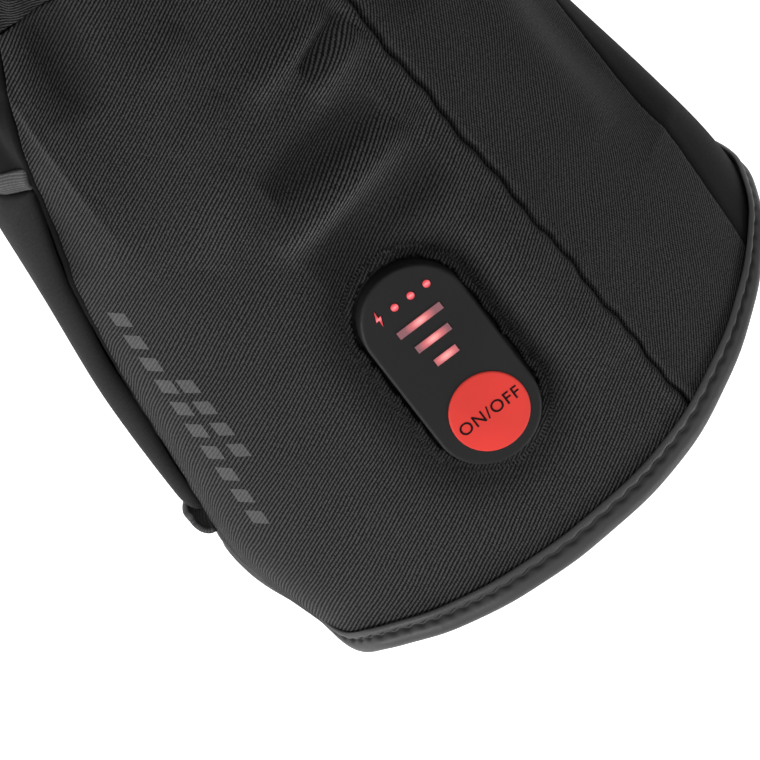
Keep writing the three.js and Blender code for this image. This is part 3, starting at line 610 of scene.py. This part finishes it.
printed.links.new(blend_colors(printed, ink, weave.outputs["Color"], (0.13, 0.13, 0.132)),
                  printed.nodes["Principled BSDF"].inputs["Base Color"])

# The mouth of the cuff is bound with a strip of coated cloth, rolled round the edge and stitched
# down in a slightly wavy groove, so that a narrow rib stands above it and a round roll below.
binding_room, binding_thick = 0.7, 1.3
binding_inner = -cuff_wall - binding_room - binding_thick
binding_section = [dict(off=off, down=down) for off, down in (
    (0.4, -2.2), (0.85, -2.35), (1.25, -2.1), (1.5, -1.5), (1.35, -0.95), (0.85, -0.6), (0.3, -0.35),
    (0.35, 0.0), (0.95, 0.2), (1.5, 0.6), (1.75, 1.3), (1.7, 2.3), (1.3, 3.2), (0.3, 3.85),
    (-1.0, 4.05), (-2.6, 4.0), (-4.0, 3.3), (-4.9, 2.1), (binding_inner, 0.6),
    (binding_inner, -2.2), (-3.75, -2.2), (-3.75, 0.65), (0.4, 0.65))]
stitch_waves, wave_height, wave_reach = 101, 0.3, 0.7
# On the thumb side the roll turns under the cloth: where, over how many degrees, and how far.
under_turn, under_spread, under_off, under_down = 170, 12, 1.8, 1.4


def binding_point(u, v):
    section = len(binding_section)
    k = int(round(u * section)) % section
    turn = 2 * math.pi * v
    off, down = binding_section[k]["off"], binding_section[k]["down"]
    ripple = math.sin(turn * stitch_waves + 0.8 * math.sin(turn * 9))
    wave = wave_height * ripple * math.exp(-((down + 0.35) / wave_reach) ** 2)
    pull = 0.04 * ripple * math.exp(-((down - 0.6) / 0.6) ** 2) + 0.1 * math.sin(turn * 23)
    under = math.exp(-(((math.degrees(turn) - under_turn) / under_spread) ** 2))
    off, down = off - under_off * under, down - under_down * under
    edge = hem_at(turn)
    at = body_point(max(edge - down, 0), turn, off + pull)
    return Vector((at.x, edge - down - wave, max(at.z, 0.05)))


binding = plain_grid("rolled_binding", len(binding_section), 900)
shape_grid(binding, binding_point, wrapped=True)
face_outward()
apply_modifier(binding, "SUBSURF", levels=1, render_levels=1)
smooth_faces(binding)


def grain_group():
    """Moulded or coated skin: fine grain in its shine and height, and broad patches of tone."""
    group, given, made = new_group(
        "fine_grain", dict(Place="Vector", Grain="Float", Dark="Color", Light="Color", Shine="Float"),
        dict(Color="Color", Height="Float", Roughness="Float"))
    fine = noise(group, given["Place"], Detail=4)
    group.links.new(given["Grain"], fine.inputs["Scale"])
    broad = noise(group, given["Place"], Scale=patch_scale)
    patches = blend_colors(group, broad.outputs["Fac"], given["Dark"], given["Light"])
    uneven = maths(group, "MULTIPLY_ADD", fine.outputs["Fac"], 2 * shine_swing, -shine_swing)
    group.links.new(patches, made["Color"])
    group.links.new(fine.outputs["Fac"], made["Height"])
    group.links.new(maths(group, "ADD", given["Shine"], uneven), made["Roughness"])
    return group


patch_scale, patch_tone, shine_swing = 60, 0.25, 0.1
fine_grain = grain_group()


def grained_material(name, color, roughness, grain, grain_height, specular=0.4):
    material = bpy.data.materials.new(name)
    material.use_nodes = True
    nodes, links = material.node_tree.nodes, material.node_tree.links
    shader = nodes["Principled BSDF"]
    shader.inputs["Specular IOR Level"].default_value = specular
    skin = nodes.new("ShaderNodeGroup")
    skin.node_tree = fine_grain
    skin.inputs["Grain"].default_value = grain
    skin.inputs["Dark"].default_value = (*[part * (1 - patch_tone) for part in color], 1)
    skin.inputs["Light"].default_value = (*[part * (1 + patch_tone) for part in color], 1)
    skin.inputs["Shine"].default_value = roughness
    links.new(nodes.new("ShaderNodeTexCoord").outputs["Object"], skin.inputs["Place"])
    bump = nodes.new("ShaderNodeBump")
    bump.inputs["Distance"].default_value = grain_height * MM
    links.new(skin.outputs["Height"], bump.inputs["Height"])
    links.new(bump.outputs["Normal"], shader.inputs["Normal"])
    links.new(skin.outputs["Color"], shader.inputs["Base Color"])
    links.new(skin.outputs["Roughness"], shader.inputs["Roughness"])
    return material


binding.data.materials.append(
    grained_material("binding_cloth", (0.045, 0.045, 0.0455), 0.55, 1400, 0.06, specular=0.45))
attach(binding, "root")
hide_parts("hem_binding")

# The wrist is a band of the same twill, drawn in by three rows of elastic sewn behind it. They
# gather it into short ribs, and it is sewn to the cuff and to the hand at its edges.
gather_count, rib_height, elastic_rows, row_height = 31, 1.1, 3, 0.35
wadding_thick = 2.6


def elastic_point(u, v):
    turn = 2 * math.pi * u
    y = mix(cuff_length + seam_gap / 2, hand_start - seam_gap / 2, v)
    uneven = gather_count * turn + 1.4 * math.sin(turn * 3) + 1.1 * math.sin(turn * 7 + 1)
    rib = rib_height * math.cos(uneven + 0.5 * math.sin(v * 5 + turn * 2))
    rows = row_height * abs(math.sin(math.pi * v * elastic_rows))
    return body_point(y, turn, rib * (0.35 + 0.65 * math.sin(math.pi * v)) + rows)


elastic = plain_grid("gathered_wrist", 620, 36)
shape_grid(elastic, elastic_point, wrapped=True)
face_outward()
elastic.data.materials.append(cloth_material("wrist_twill", **twill))
elastic.data.materials.append(fleece)
apply_modifier(elastic, "SOLIDIFY", thickness=wadding_thick * MM, offset=-1, material_offset=1)
smooth_faces(elastic)
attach(elastic, "root")
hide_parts("wrist_elastic")

# The hand and its five stalls are sewn from twill on the back and smooth cloth on the palm, over
# wadding that rounds them out. The seam runs along the sides, round each fingertip.
finger_length, stall_gap = 88.0, 1.4
thumb_length, thumb_width, thumb_height = 92, 32, 32.5
thumb_place, thumb_turn = (-0.17 * hand_width, 0.14 * hand_length), math.radians(39)
finger_sink, thumb_sink = 9.0, 0.5
finger_rows = [
    dict(name="index", width=0.255, length=0.9, tall=0.92, splay=-4),
    dict(name="middle", width=0.26, length=1.0, tall=1.0, splay=-0.5),
    dict(name="ring", width=0.25, length=0.94, tall=1.0, splay=1.5),
    dict(name="little", width=0.235, length=0.76, tall=0.82, splay=8),
]
stall_rows = [
    dict(at=0.0, wide=1.0, tall=1.0, lift=0.12),
    dict(at=0.3, wide=0.98, tall=0.99, lift=0.12),
    dict(at=0.6, wide=0.96, tall=0.97, lift=0.09),
    dict(at=1.0, wide=0.9, tall=0.89, lift=0.0),
]


def stall_point(length, width, height, lean, place, turned, sink):
    """Shapes a finger or the thumb, whose root sinks this far into the hand."""
    tip = width * 0.5
    swing = Matrix.Rotation(turned, 3, "Z")

    def point(u, v):
        y = mix(-sink, length, 1 - (1 - v) ** 1.4)
        at = clamp(y / length, 0, 1)
        shrink = math.sqrt(max(1 - max((y - length + tip) / tip, 0) ** 2.2, 0))
        half = width / 2 * curve_through(stall_rows, "wide", at)
        tall = height * curve_through(stall_rows, "tall", at)
        lift = height * curve_through(stall_rows, "lift", at)
        middle = tall * middle_share
        turn = 2 * math.pi * u
        c, s = signed_power(math.cos(turn), 0.8), signed_power(math.sin(turn), 0.8)
        rise = tall - middle if s > 0 else middle * slump
        local = Vector((lean * y + half * shrink * c, y, max(lift + middle + rise * shrink * s, 0)))
        return swing @ local + place
    return point


def close_ends(piece):
    bpy.ops.object.mode_set(mode="EDIT")
    bpy.ops.mesh.select_all(action="DESELECT")
    bpy.ops.mesh.select_mode(type="EDGE")
    bpy.ops.mesh.select_non_manifold()
    bpy.ops.mesh.edge_face_add()
    bpy.ops.mesh.select_all(action="SELECT")
    bpy.ops.mesh.remove_doubles(threshold=1e-6)
    bpy.ops.mesh.normals_make_consistent(inside=False)
    bpy.ops.object.mode_set(mode="OBJECT")


hand_forms = []
palm_form = plain_grid("palm_form", 96, 60)
shape_grid(palm_form, lambda u, v: body_point(
    mix(hand_start - 6, finger_start + 1.5, v), 2 * math.pi * u,
    -4.5 * smooth_step(v, 0.955, 1.0) ** 2), wrapped=True)
close_ends(palm_form)
hand_forms.append(palm_form)
finger_room, finger_height, filled = hand_width * 0.96, knuckle_height * 0.84, -hand_width * 0.48
for finger in finger_rows:
    slot = finger["width"] * finger_room
    root = Vector((filled + slot / 2, finger_start + seam_gap, 0))
    stall = plain_grid(finger["name"] + "_form", 40, 60)
    shape_grid(stall, stall_point(
        finger["length"] * finger_length, slot - stall_gap, finger["tall"] * finger_height,
        math.tan(math.radians(finger["splay"])), root, 0.0, finger_sink), wrapped=True)
    close_ends(stall)
    hand_forms.append(stall)
    filled += slot
thumb_stall = plain_grid("thumb_form", 40, 60)
shape_grid(thumb_stall, stall_point(
    thumb_length, thumb_width, thumb_height, 0.0,
    Vector((thumb_place[0], hand_start + thumb_place[1], 0)), thumb_turn, thumb_sink), wrapped=True)
close_ends(thumb_stall)
hand_forms.append(thumb_stall)

take_up(*hand_forms)
bpy.ops.object.join()
hand = bpy.context.object
hand.name = hand.data.name = "padded_hand"
apply_modifier(hand, "REMESH", mode="VOXEL", voxel_size=2.3 * MM)
apply_modifier(hand, "SMOOTH", factor=0.5, iterations=4)

last_step, furthest_swell = 20, 1.8 * MM
at_rest = [v.co.copy() for v in hand.data.vertices]
modifier = hand.modifiers.new("wadding", "CLOTH")
modifier.settings.use_pressure = True
modifier.settings.uniform_pressure_force = 4
modifier.settings.effector_weights.gravity = 0
modifier.settings.tension_stiffness = 12
modifier.settings.compression_stiffness = 12
modifier.settings.bending_stiffness = 0.3
modifier.point_cache.frame_start = 1
modifier.point_cache.frame_end = last_step
for step in range(1, last_step + 1):
    bpy.context.scene.frame_set(step)
bpy.context.view_layer.objects.active = hand
bpy.ops.object.modifier_apply(modifier=modifier.name)
bpy.context.scene.frame_set(1)
for vertex, rest in zip(hand.data.vertices, at_rest):
    moved = vertex.co - rest
    if moved.length > furthest_swell:
        moved = moved.normalized() * furthest_swell
    vertex.co = rest + moved

apply_modifier(hand, "SUBSURF", levels=1, render_levels=1)
# the seam round the sides is pulled in, with creases at the finger joints and small puckers
seam_height, seam_depth, seam_width = knuckle_height * 0.42, 1.2, 1.3
crease_rows = [
    dict(y=finger_start + 24, depth=0.7, width=2.2),
    dict(y=finger_start + 48, depth=0.55, width=2.0),
    dict(y=finger_start - 4, depth=0.9, width=3.0),
]
hand.data.update()
normals = [v.normal.copy() for v in hand.data.vertices]
for vertex, normal in zip(hand.data.vertices, normals):
    at = vertex.co / MM - frame_shift
    sideways = 1 - abs(normal.z) ** 2
    off_seam = at.z - seam_height
    push = -seam_depth * math.exp(-((off_seam / seam_width) ** 2)) * sideways
    push += 0.2 * sideways * math.sin(at.y * 1.1 + at.x * 0.8) * math.exp(-abs(off_seam) / 4)
    for row in crease_rows:
        across = (at.y - row["y"] - 1.5 * math.sin(at.x * 0.21)) / row["width"]
        push -= row["depth"] * max(normal.z, 0) * math.exp(-(across ** 2))
    fade = 1 - smooth_step(at.y, hand_start + 4, hand_start + 28)
    push += 0.9 * fade * math.sin(at.x * 0.55 + 1.2 * math.sin(at.x * 0.13)) * max(abs(normal.z), 0.2)
    push += 0.35 * math.sin(at.x * 0.09 + at.y * 0.05) * math.sin(at.y * 0.08)
    vertex.co += normal * push * MM
    vertex.co.z = max(vertex.co.z, 0.0002)

# the wrist end is cut open, and the wadding gives the cloth its thickness inwards
take_up(hand)
bpy.ops.object.mode_set(mode="EDIT")
bpy.ops.mesh.select_all(action="SELECT")
bpy.ops.mesh.bisect(plane_co=(0, (hand_start + 0.2 + frame_shift.y) * MM, 0), plane_no=(0, 1, 0),
                    clear_inner=True)
bpy.ops.object.mode_set(mode="OBJECT")

# the weave follows the cloth: each face takes its UV map from the side that it faces
if not hand.data.uv_layers:
    hand.data.uv_layers.new(name="UVMap")
for face in hand.data.polygons:
    facing = [abs(part) for part in face.normal]
    for loop in face.loop_indices:
        at = hand.data.vertices[hand.data.loops[loop].vertex_index].co / MM
        side, end = (at.x, at.y), (at.x, at.z)
        if facing[0] > max(facing[1], facing[2] * 1.4):
            side = (at.z, at.y)
        elif facing[1] > facing[2] * 1.4:
            side = end
        hand.data.uv_layers.active.data[loop].uv = side
hand_twill = cloth_material("hand_cloth", **twill)
sewn = hand_twill.node_tree
axes = sewn.nodes.new("ShaderNodeSeparateXYZ")
sewn.links.new(sewn.nodes.new("ShaderNodeTexCoord").outputs["Object"], axes.inputs["Vector"])
palm_side = sewn.nodes.new("ShaderNodeMapRange")
palm_side.inputs["From Min"].default_value = (seam_height + 0.15) * MM
palm_side.inputs["From Max"].default_value = (seam_height - 0.15) * MM
sewn.links.new(axes.outputs["Z"], palm_side.inputs["Value"])
sewn.links.new(blend_colors(sewn, palm_side.outputs["Result"], sewn.nodes["weave"].outputs["Color"],
                            (0.017, 0.017, 0.0175)), sewn.nodes["Principled BSDF"].inputs["Base Color"])
hand.data.materials.clear()
hand.data.materials.append(hand_twill)
hand.data.materials.append(fleece)
apply_modifier(hand, "SOLIDIFY", thickness=wadding_thick * MM, offset=-1, material_offset=1)
smooth_faces(hand)
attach(hand, "root")
hand_nodes = ["hand_back", "hand_palm", "finger_web", "thumb_back", "thumb_palm"]
for finger in finger_rows:
    hand_nodes += [finger["name"] + "_back", finger["name"] + "_palm"]
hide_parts(*hand_nodes)

# The battery pocket is a flat padded pouch of smooth cloth below the thumb-side seam. A grey
# woven tape closes each end of it, and the pouch is sewn down under the seam and at its edges.
pouch_cloth = cloth_material("pouch_cloth", (0.011, 0.011, 0.011), (0.021, 0.021, 0.0213), **smooth_cloth)
tape_cloth = cloth_material("grey_tape", (0.05, 0.05, 0.051), (0.1, 0.1, 0.102), 0, 0.5, 0.06)
pocket_from, pocket_to, pocket_reach = 0.268 * cuff_length, 0.8 * cuff_length, math.radians(222)
tape_width, hem_tape_width = 4.0, 5.2
below_seam, sewn_down, pouch_swell = 1.7, 0.4, 3.1
pouch_long, pouch_across, edge_round = 61, 26, 5.0


def pad_point(start, end, top):
    """Lays a piece along the cuff under the thumb-side seam; top gives its thickness."""
    def point(u, v):
        y = mix(start, end, v)
        first = thumb_seam_at(y) + turn_for(below_seam, y, thumb_seam_at(y))
        return body_point(y, mix(first, pocket_reach, 1 - u), sewn_down + top(u, v))
    return point


def pouch_top(u, v):
    to_edge = min(min(v, 1 - v) * pouch_long, min(u, 1 - u) * pouch_across)
    near = clamp(to_edge / edge_round, 0, 1)
    puff = math.sqrt(max(1 - (1 - near) ** 2, 0)) * (1 + 0.55 * math.sin(math.pi * v ** 0.7) ** 2)
    crease = 0.25 * math.sin(v * 19 + 2 * math.sin(u * 4)) * (1 - near)
    return pouch_swell * puff + crease


def tape_top(u, v):
    return 1.1 * math.sin(math.pi * clamp(v, 0.08, 0.92)) ** 0.7


def cap_top(u, v):
    """The hem-end tape rounds the pouch's end like a cap."""
    to_sides = math.sin(math.pi * clamp(u, 0.06, 0.94)) ** 0.25
    return hem_tape_width * math.sqrt(1 - (1 - v) ** 2) * to_sides


for name, node, start, end, top, columns, rows, cloth in (
    ("battery_pouch", "battery_pocket", pocket_from, pocket_to, pouch_top, 60, 110, pouch_cloth),
    ("hem_end_tape", "pocket_tape_hem", pocket_from - seam_gap - hem_tape_width,
     pocket_from - seam_gap, cap_top, 60, 24, tape_cloth),
    ("wrist_end_tape", "pocket_tape_wrist", pocket_to + seam_gap, pocket_to + seam_gap + tape_width,
     tape_top, 60, 14, tape_cloth),
):
    piece = plain_grid(name, columns, rows)
    shape_grid(piece, pad_point(start, end, top))
    piece.data.materials.append(cloth)
    apply_modifier(piece, "SOLIDIFY", thickness=1.1 * MM, offset=-1)
    smooth_faces(piece)
    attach(piece, "root")
    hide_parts(node)

# The cut edge of the cloth round the control is held by a dense satin stitch in black thread,
# laid square across the edge, stitch by stitch.
def plain_back(y, turn):
    half, lift, square, middle, up, _ = section_at(y)
    return Vector((half * signed_power(math.cos(turn), 2 / square), y,
                   lift + middle + up * signed_power(math.sin(turn), 2 / square)))


control_over = turn_over(control_x, control_y)
control_centre = plain_back(control_y, control_over)
ahead = plain_back(control_y + 0.5, control_over) - control_centre
beside = plain_back(control_y, control_over - turn_for(0.5, control_y, control_over)) - control_centre
control_up = beside.cross(ahead).normalized()
control_ahead = (ahead - control_up * ahead.dot(control_up)).normalized()
control_ahead.rotate(Matrix.Rotation(control_turn, 3, control_up))
control_side = control_ahead.cross(control_up)
control_frame = Matrix((control_side, control_ahead, control_up)).transposed()


def on_control(x, y, z):
    """A place on the control, in millimetres across, along and up from its middle."""
    return (control_frame @ Vector((x, y, z)) + control_centre + frame_shift) * MM


def place_on_control(piece):
    for vertex in piece.data.vertices:
        vertex.co = on_control(*(vertex.co / MM))
    piece.data.update()


def ring_point(out, run):
    """A place this far outside the control's round-ended outline, at a share of the way round."""
    radius = control_width / 2
    straight = control_length / 2 - radius
    whole = 4 * straight + 2 * math.pi * radius
    s = (run % 1.0) * whole
    half = whole / 2
    side = 1 if s < half else -1
    s %= half
    if s < 2 * straight:
        return side * Vector((radius + out, s - straight))
    a = (s - 2 * straight) / radius
    return side * Vector((math.cos(a) * (radius + out), straight + math.sin(a) * (radius + out)))


def on_cloth(flat, raised):
    """A place in the frame, raised off the cloth at a point of the control's own plan."""
    x = control_x + flat.x * math.cos(control_turn) - flat.y * math.sin(control_turn)
    y = control_y + flat.x * math.sin(control_turn) + flat.y * math.cos(control_turn)
    return body_point(y, turn_over(x, y), raised) + frame_shift


stitch_count, stitch_width, fibre_count, fibre_width = 190, 0.52, 620, 0.07
bpy.ops.object.select_all(action="DESELECT")
bpy.ops.mesh.primitive_uv_sphere_add(segments=8, ring_count=6, radius=0.5)
stitch = bpy.context.object
random.seed(11)
stitches = []


def lay_thread(shape, start, end, width):
    """Lays a copy of a thread's shape from one place to another, in millimetres."""
    along = end - start
    turned = along.to_track_quat("X", "Z").to_matrix().to_4x4()
    copy = bpy.data.objects.new("thread", shape.data.copy())
    copy.data.transform(Matrix.Scale(MM, 4) @ Matrix.Translation((start + end) / 2) @ turned
                        @ Matrix.Diagonal((along.length, width, width, 1)))
    bpy.context.collection.objects.link(copy)
    return copy


for i in range(stitch_count):
    run = i / stitch_count
    inner = ring_point(0.55, run + random.uniform(-0.0005, 0.0005))
    outer = ring_point(3.1 + random.uniform(-0.2, 0.25), run + random.uniform(-0.0005, 0.0005))
    stitches.append(lay_thread(stitch, on_cloth(inner, -1.25), on_cloth(outer, 0.25), stitch_width))
bpy.ops.object.select_all(action="DESELECT")
bpy.ops.mesh.primitive_cone_add(vertices=3, radius1=0.5, radius2=0.1, depth=1,
                                rotation=(0, math.pi / 2, 0))
fibre = bpy.context.object
bpy.ops.object.transform_apply(rotation=True)
for i in range(fibre_count):
    run = random.random()
    start = ring_point(random.uniform(0.6, 3.4), run)
    end = ring_point(random.uniform(1.5, 4.6), run + random.uniform(-0.012, 0.012))
    stitches.append(lay_thread(fibre, on_cloth(start, -0.2), on_cloth(end, random.uniform(0.1, 0.9)),
                               fibre_width))
bpy.data.objects.remove(fibre)
bpy.data.objects.remove(stitch)
take_up(*stitches)
bpy.ops.object.join()
rim = bpy.context.object
rim.name = rim.data.name = "satin_stitched_rim"
rim.data.materials.append(
    grained_material("black_thread", (0.012, 0.012, 0.012), 0.6, 2500, 0.05))
smooth_faces(rim)
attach(rim, "root")
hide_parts("control_rim")

# The control is one moulding of black soft-touch rubber with round ends. It stands a little
# proud of the cloth, with an eased edge round a flat face.
control_proud, smooth_under = 1.5, math.radians(35)


def round_ended(name, grow, low, high, bevel):
    """An upright block with round ends, in the control's own millimetres."""
    bpy.ops.object.select_all(action="DESELECT")
    bpy.ops.mesh.primitive_cylinder_add(vertices=128, radius=(control_width / 2 + grow) * MM,
                                        depth=(high - low) * MM)
    block = bpy.context.object
    block.name = block.data.name = name
    for vertex in block.data.vertices:
        vertex.co.y += math.copysign((control_length - control_width) / 2 * MM, vertex.co.y + 1e-9)
        vertex.co.z += (high + low) / 2 * MM
    bpy.ops.object.mode_set(mode="EDIT")
    edit = bmesh.from_edit_mesh(block.data)
    for edge in edit.edges:
        edge.select_set(all(v.co.z > (high + low) / 2 * MM for v in edge.verts))
    bmesh.update_edit_mesh(block.data)
    bpy.ops.mesh.bevel(offset=bevel * MM, segments=5, profile=0.6)
    bpy.ops.object.mode_set(mode="OBJECT")
    return block


# under the cloth a wider flange holds it
flange = round_ended("control_flange", 3.2, -4.9, -3.5, 0.4)
housing = round_ended("control_moulding", 0, -4.5, control_proud, 0.8)
take_up(housing, flange)
bpy.ops.object.join()
place_on_control(housing)
take_up(housing)
bpy.ops.object.shade_smooth_by_angle(angle=smooth_under)
housing.data.materials.append(
    grained_material("soft_touch_rubber", (0.0125, 0.0125, 0.0128), 0.55, 3000, 0.02, specular=0.25))
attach(housing, "root")
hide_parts("control_housing")

# Behind the face sit red lamps: a charging flash and three level dots in a row, and three bars of
# falling length. Each bar is brightest over its lamp and fades to dusty mauve at its ends.
lamp_row, lamp_pitch, lamp_dot = 0.365 * control_length, 3.6, 1.45
bar_rows = [
    dict(node="heat_bar_1", length=9.7, along=0.25 * control_length),
    dict(node="heat_bar_2", length=7.5, along=0.152 * control_length),
    dict(node="heat_bar_3", length=4.9, along=0.055 * control_length),
]
bar_width, bar_across, lens_thick, lens_proud, flash_tall = 1.5, 0.4, 0.3, 0.04, 3.4
halfway_at, lamp_narrow = 0.45, 0.45


def lamp_material(name, edge, core, glow, reach):
    material = bpy.data.materials.new(name)
    material.use_nodes = True
    nodes, links = material.node_tree.nodes, material.node_tree.links
    shader = nodes["Principled BSDF"]
    shader.inputs["Roughness"].default_value = 0.4
    shader.inputs["Emission Strength"].default_value = glow
    ball = nodes.new("ShaderNodeTexGradient")
    ball.gradient_type = "SPHERICAL"
    size = nodes.new("ShaderNodeMapping")
    size.inputs["Scale"].default_value = (1 / reach, 1 / (reach * lamp_narrow), 1)
    links.new(nodes.new("ShaderNodeTexCoord").outputs["UV"], size.inputs["Vector"])
    links.new(size.outputs["Vector"], ball.inputs["Vector"])
    ramp = nodes.new("ShaderNodeValToRGB")
    ramp.color_ramp.elements[0].color = (*edge, 1)
    ramp.color_ramp.elements[1].color = (*core, 1)
    halfway = ramp.color_ramp.elements.new(halfway_at)
    halfway.color = (mix(edge[0], core[0], halfway_at), core[1] * 0.35, core[2] * 0.4, 1)
    links.new(ball.outputs["Fac"], ramp.inputs["Fac"])
    links.new(ramp.outputs["Color"], shader.inputs["Base Color"])
    links.new(ramp.outputs["Color"], shader.inputs["Emission Color"])
    return material


bar_lamp = lamp_material("bar_lamp", (0.22, 0.09, 0.105), (1.0, 0.4, 0.38), 0.35, 3.3)
dot_lamp = lamp_material("dot_lamp", (0.6, 0.05, 0.06), (0.95, 0.3, 0.32), 0.4, 1.3)


def lamp_plate(name, node, outline, x, y, material):
    """A thin lens of this outline, set into the control's face."""
    bpy.ops.object.select_all(action="DESELECT")
    bpy.ops.mesh.primitive_circle_add(vertices=len(outline), radius=1, fill_type="NGON", calc_uvs=True)
    plate = bpy.context.object
    plate.name = plate.data.name = name
    for vertex, (px, py) in zip(plate.data.vertices, outline):
        vertex.co = Vector((px + x, py + y, control_proud + lens_proud)) * MM
    for loop, corner in zip(plate.data.loops, plate.data.uv_layers.active.data):
        corner.uv = outline[loop.vertex_index]
    face_outward()
    place_on_control(plate)
    apply_modifier(plate, "SOLIDIFY", thickness=lens_thick * MM, offset=0)
    plate.data.materials.append(material)
    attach(plate, "root")
    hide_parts(node)


for bar in bar_rows:
    x, y = bar["length"] / 2, bar_width / 2
    lamp_plate(bar["node"] + "_lens", bar["node"], [(-x, -y), (x, -y), (x, y), (-x, y)],
               bar_across, bar["along"], bar_lamp)
round_dot = [(math.cos(i * math.pi / 16) * lamp_dot / 2, math.sin(i * math.pi / 16) * lamp_dot / 2)
             for i in range(32)]
for i, step in enumerate((-0.5, 0.5, 1.5)):
    lamp_plate(f"level_dot_{i + 1}_lens", f"level_dot_{i + 1}", round_dot, step * lamp_pitch, lamp_row,
               dot_lamp)
flash_outline = [(0.04, 0.5), (-0.2, -0.08), (-0.02, -0.04), (-0.04, -0.5), (0.2, 0.1), (0.03, 0.06)]
lamp_plate("charge_flash_lens", "charge_flash",
           [(x * flash_tall, y * flash_tall) for x, y in flash_outline], -1.5 * lamp_pitch, lamp_row,
           dot_lamp)

# The button is a low red dome of translucent rubber, brightened by a faint painted glow. Its switch
# words are printed across it in thin dark letters.
button_across, button_along, button_width = 0.4, -0.266 * control_length, 15.4
button_thick, button_sunk, button_ease = 1.0, 0.15, 0.35
words_proud, letter_size, letter_thick = 0.38, 3.4, 0.05
bpy.ops.object.select_all(action="DESELECT")
bpy.ops.mesh.primitive_cylinder_add(vertices=96, radius=button_width / 2 * MM,
                                    depth=button_thick * MM)
button = bpy.context.object
button.name = button.data.name = "power_button_cap"
bpy.ops.object.mode_set(mode="EDIT")
edit = bmesh.from_edit_mesh(button.data)
for edge in edit.edges:
    edge.select_set(all(v.co.z > 0 for v in edge.verts))
bmesh.update_edit_mesh(button.data)
bpy.ops.mesh.bevel(offset=button_ease * MM, segments=4, profile=0.5)
bpy.ops.object.mode_set(mode="OBJECT")
for vertex in button.data.vertices:
    vertex.co += Vector((button_across, button_along, control_proud - button_sunk)) * MM
place_on_control(button)
take_up(button)
bpy.ops.object.shade_smooth_by_angle(angle=smooth_under)
red_rubber = grained_material("red_rubber", (0.66, 0.04, 0.032), 0.5, 3000, 0.02, specular=0.2)
painted_glow_shader = red_rubber.node_tree.nodes["Principled BSDF"]
# a faint painted glow: the red rubber emits light, though nothing lights it from inside
painted_glow_shader.inputs["Emission Color"].default_value = (0.9, 0.1, 0.07, 1)
painted_glow_shader.inputs["Emission Strength"].default_value = 0.12
button.data.materials.append(red_rubber)
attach(button, "root")
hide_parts("power_button")

bpy.ops.object.select_all(action="DESELECT")
bpy.ops.object.text_add()
words = bpy.context.object
words.name = "switch_words"
words.data.body = "ON/OFF"
words.data.align_x = "CENTER"
words.data.align_y = "CENTER"
words.data.size = letter_size * MM
words.data.extrude = letter_thick * MM
words.data.space_character = 1.12
words.data.offset = 0.02 * MM
bpy.ops.object.convert(target="MESH")
words = bpy.context.object
for vertex in words.data.vertices:
    vertex.co += Vector((button_across, button_along, control_proud + words_proud)) * MM
place_on_control(words)
words.data.materials.append(
    grained_material("dark_ink", (0.012, 0.005, 0.005), 0.7, 3000, 0.01, specular=0.1))
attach(words, "root")

# The glove lies on a plain pale sheet under soft studio light from the left, and is seen from
# above, a little from the finger side.
bpy.ops.object.select_all(action="DESELECT")
bpy.ops.mesh.primitive_plane_add(size=6)
floor = bpy.context.object
floor.name = "studio_floor"
paper = bpy.data.materials.new("pale_paper")
paper.use_nodes = True
paper_shader = paper.node_tree.nodes["Principled BSDF"]
paper_shader.inputs["Base Color"].default_value = (0.9, 0.9, 0.9, 1)
paper_shader.inputs["Roughness"].default_value = 0.9
paper_shader.inputs["Emission Color"].default_value = (1, 1, 1, 1)
paper_shader.inputs["Emission Strength"].default_value = 0.75
floor.data.materials.append(paper)

tilt = math.radians(22)
image_across = Vector((0.788, 0.616))
back_of_view = Vector((0, math.sin(tilt), math.cos(tilt)))
down_the_glove = Vector((0, math.cos(tilt), -math.sin(tilt)))
view_right = Vector((1, 0, 0)) * image_across.x - down_the_glove * image_across.y
view_up = Vector((1, 0, 0)) * image_across.y + down_the_glove * image_across.x
# where the middle of the control lies in the picture, and the picture's scale there
image_pixels, pixels_per_mm = 760, 5.5
control_pixel = Vector((452 - image_pixels / 2, image_pixels / 2 - 366))
control_top = control_centre + control_up * control_proud + frame_shift
aim = (control_top - view_right * control_pixel.x / pixels_per_mm
       - view_up * control_pixel.y / pixels_per_mm) * MM
distance = 0.9
camera_data = bpy.data.cameras.new("studio_camera")
camera_data.sensor_width = 36
camera_data.lens = camera_data.sensor_width * distance / MM * pixels_per_mm / image_pixels
camera_data.clip_end = 20
camera = bpy.data.objects.new("studio_camera", camera_data)
bpy.context.collection.objects.link(camera)
turned = Matrix((view_right, view_up, back_of_view)).transposed().to_4x4()
camera.matrix_world = Matrix.Translation(aim + back_of_view * distance) @ turned
bpy.context.scene.camera = camera


def soft_light(name, place, size, power):
    light_data = bpy.data.lights.new(name, "AREA")
    light_data.size = size
    light_data.energy = power
    light = bpy.data.objects.new(name, light_data)
    bpy.context.collection.objects.link(light)
    light.location = place
    light.rotation_euler = (-Vector(place)).to_track_quat("-Z", "Y").to_euler()


soft_light("left_softbox", (-1.1, -0.25, 0.75), 0.6, 14)
soft_light("top_softbox", (0.5, 0.3, 1.2), 0.9, 4)
soft_light("hem_strip", (0.35, -1.1, 0.5), 0.5, 6)
world = bpy.data.worlds.new("studio")
world.use_nodes = True
world.node_tree.nodes["Background"].inputs["Color"].default_value = (1, 1, 1, 1)
world.node_tree.nodes["Background"].inputs["Strength"].default_value = 0.22
bpy.context.scene.world = world
bpy.context.scene.view_settings.view_transform = "Standard"
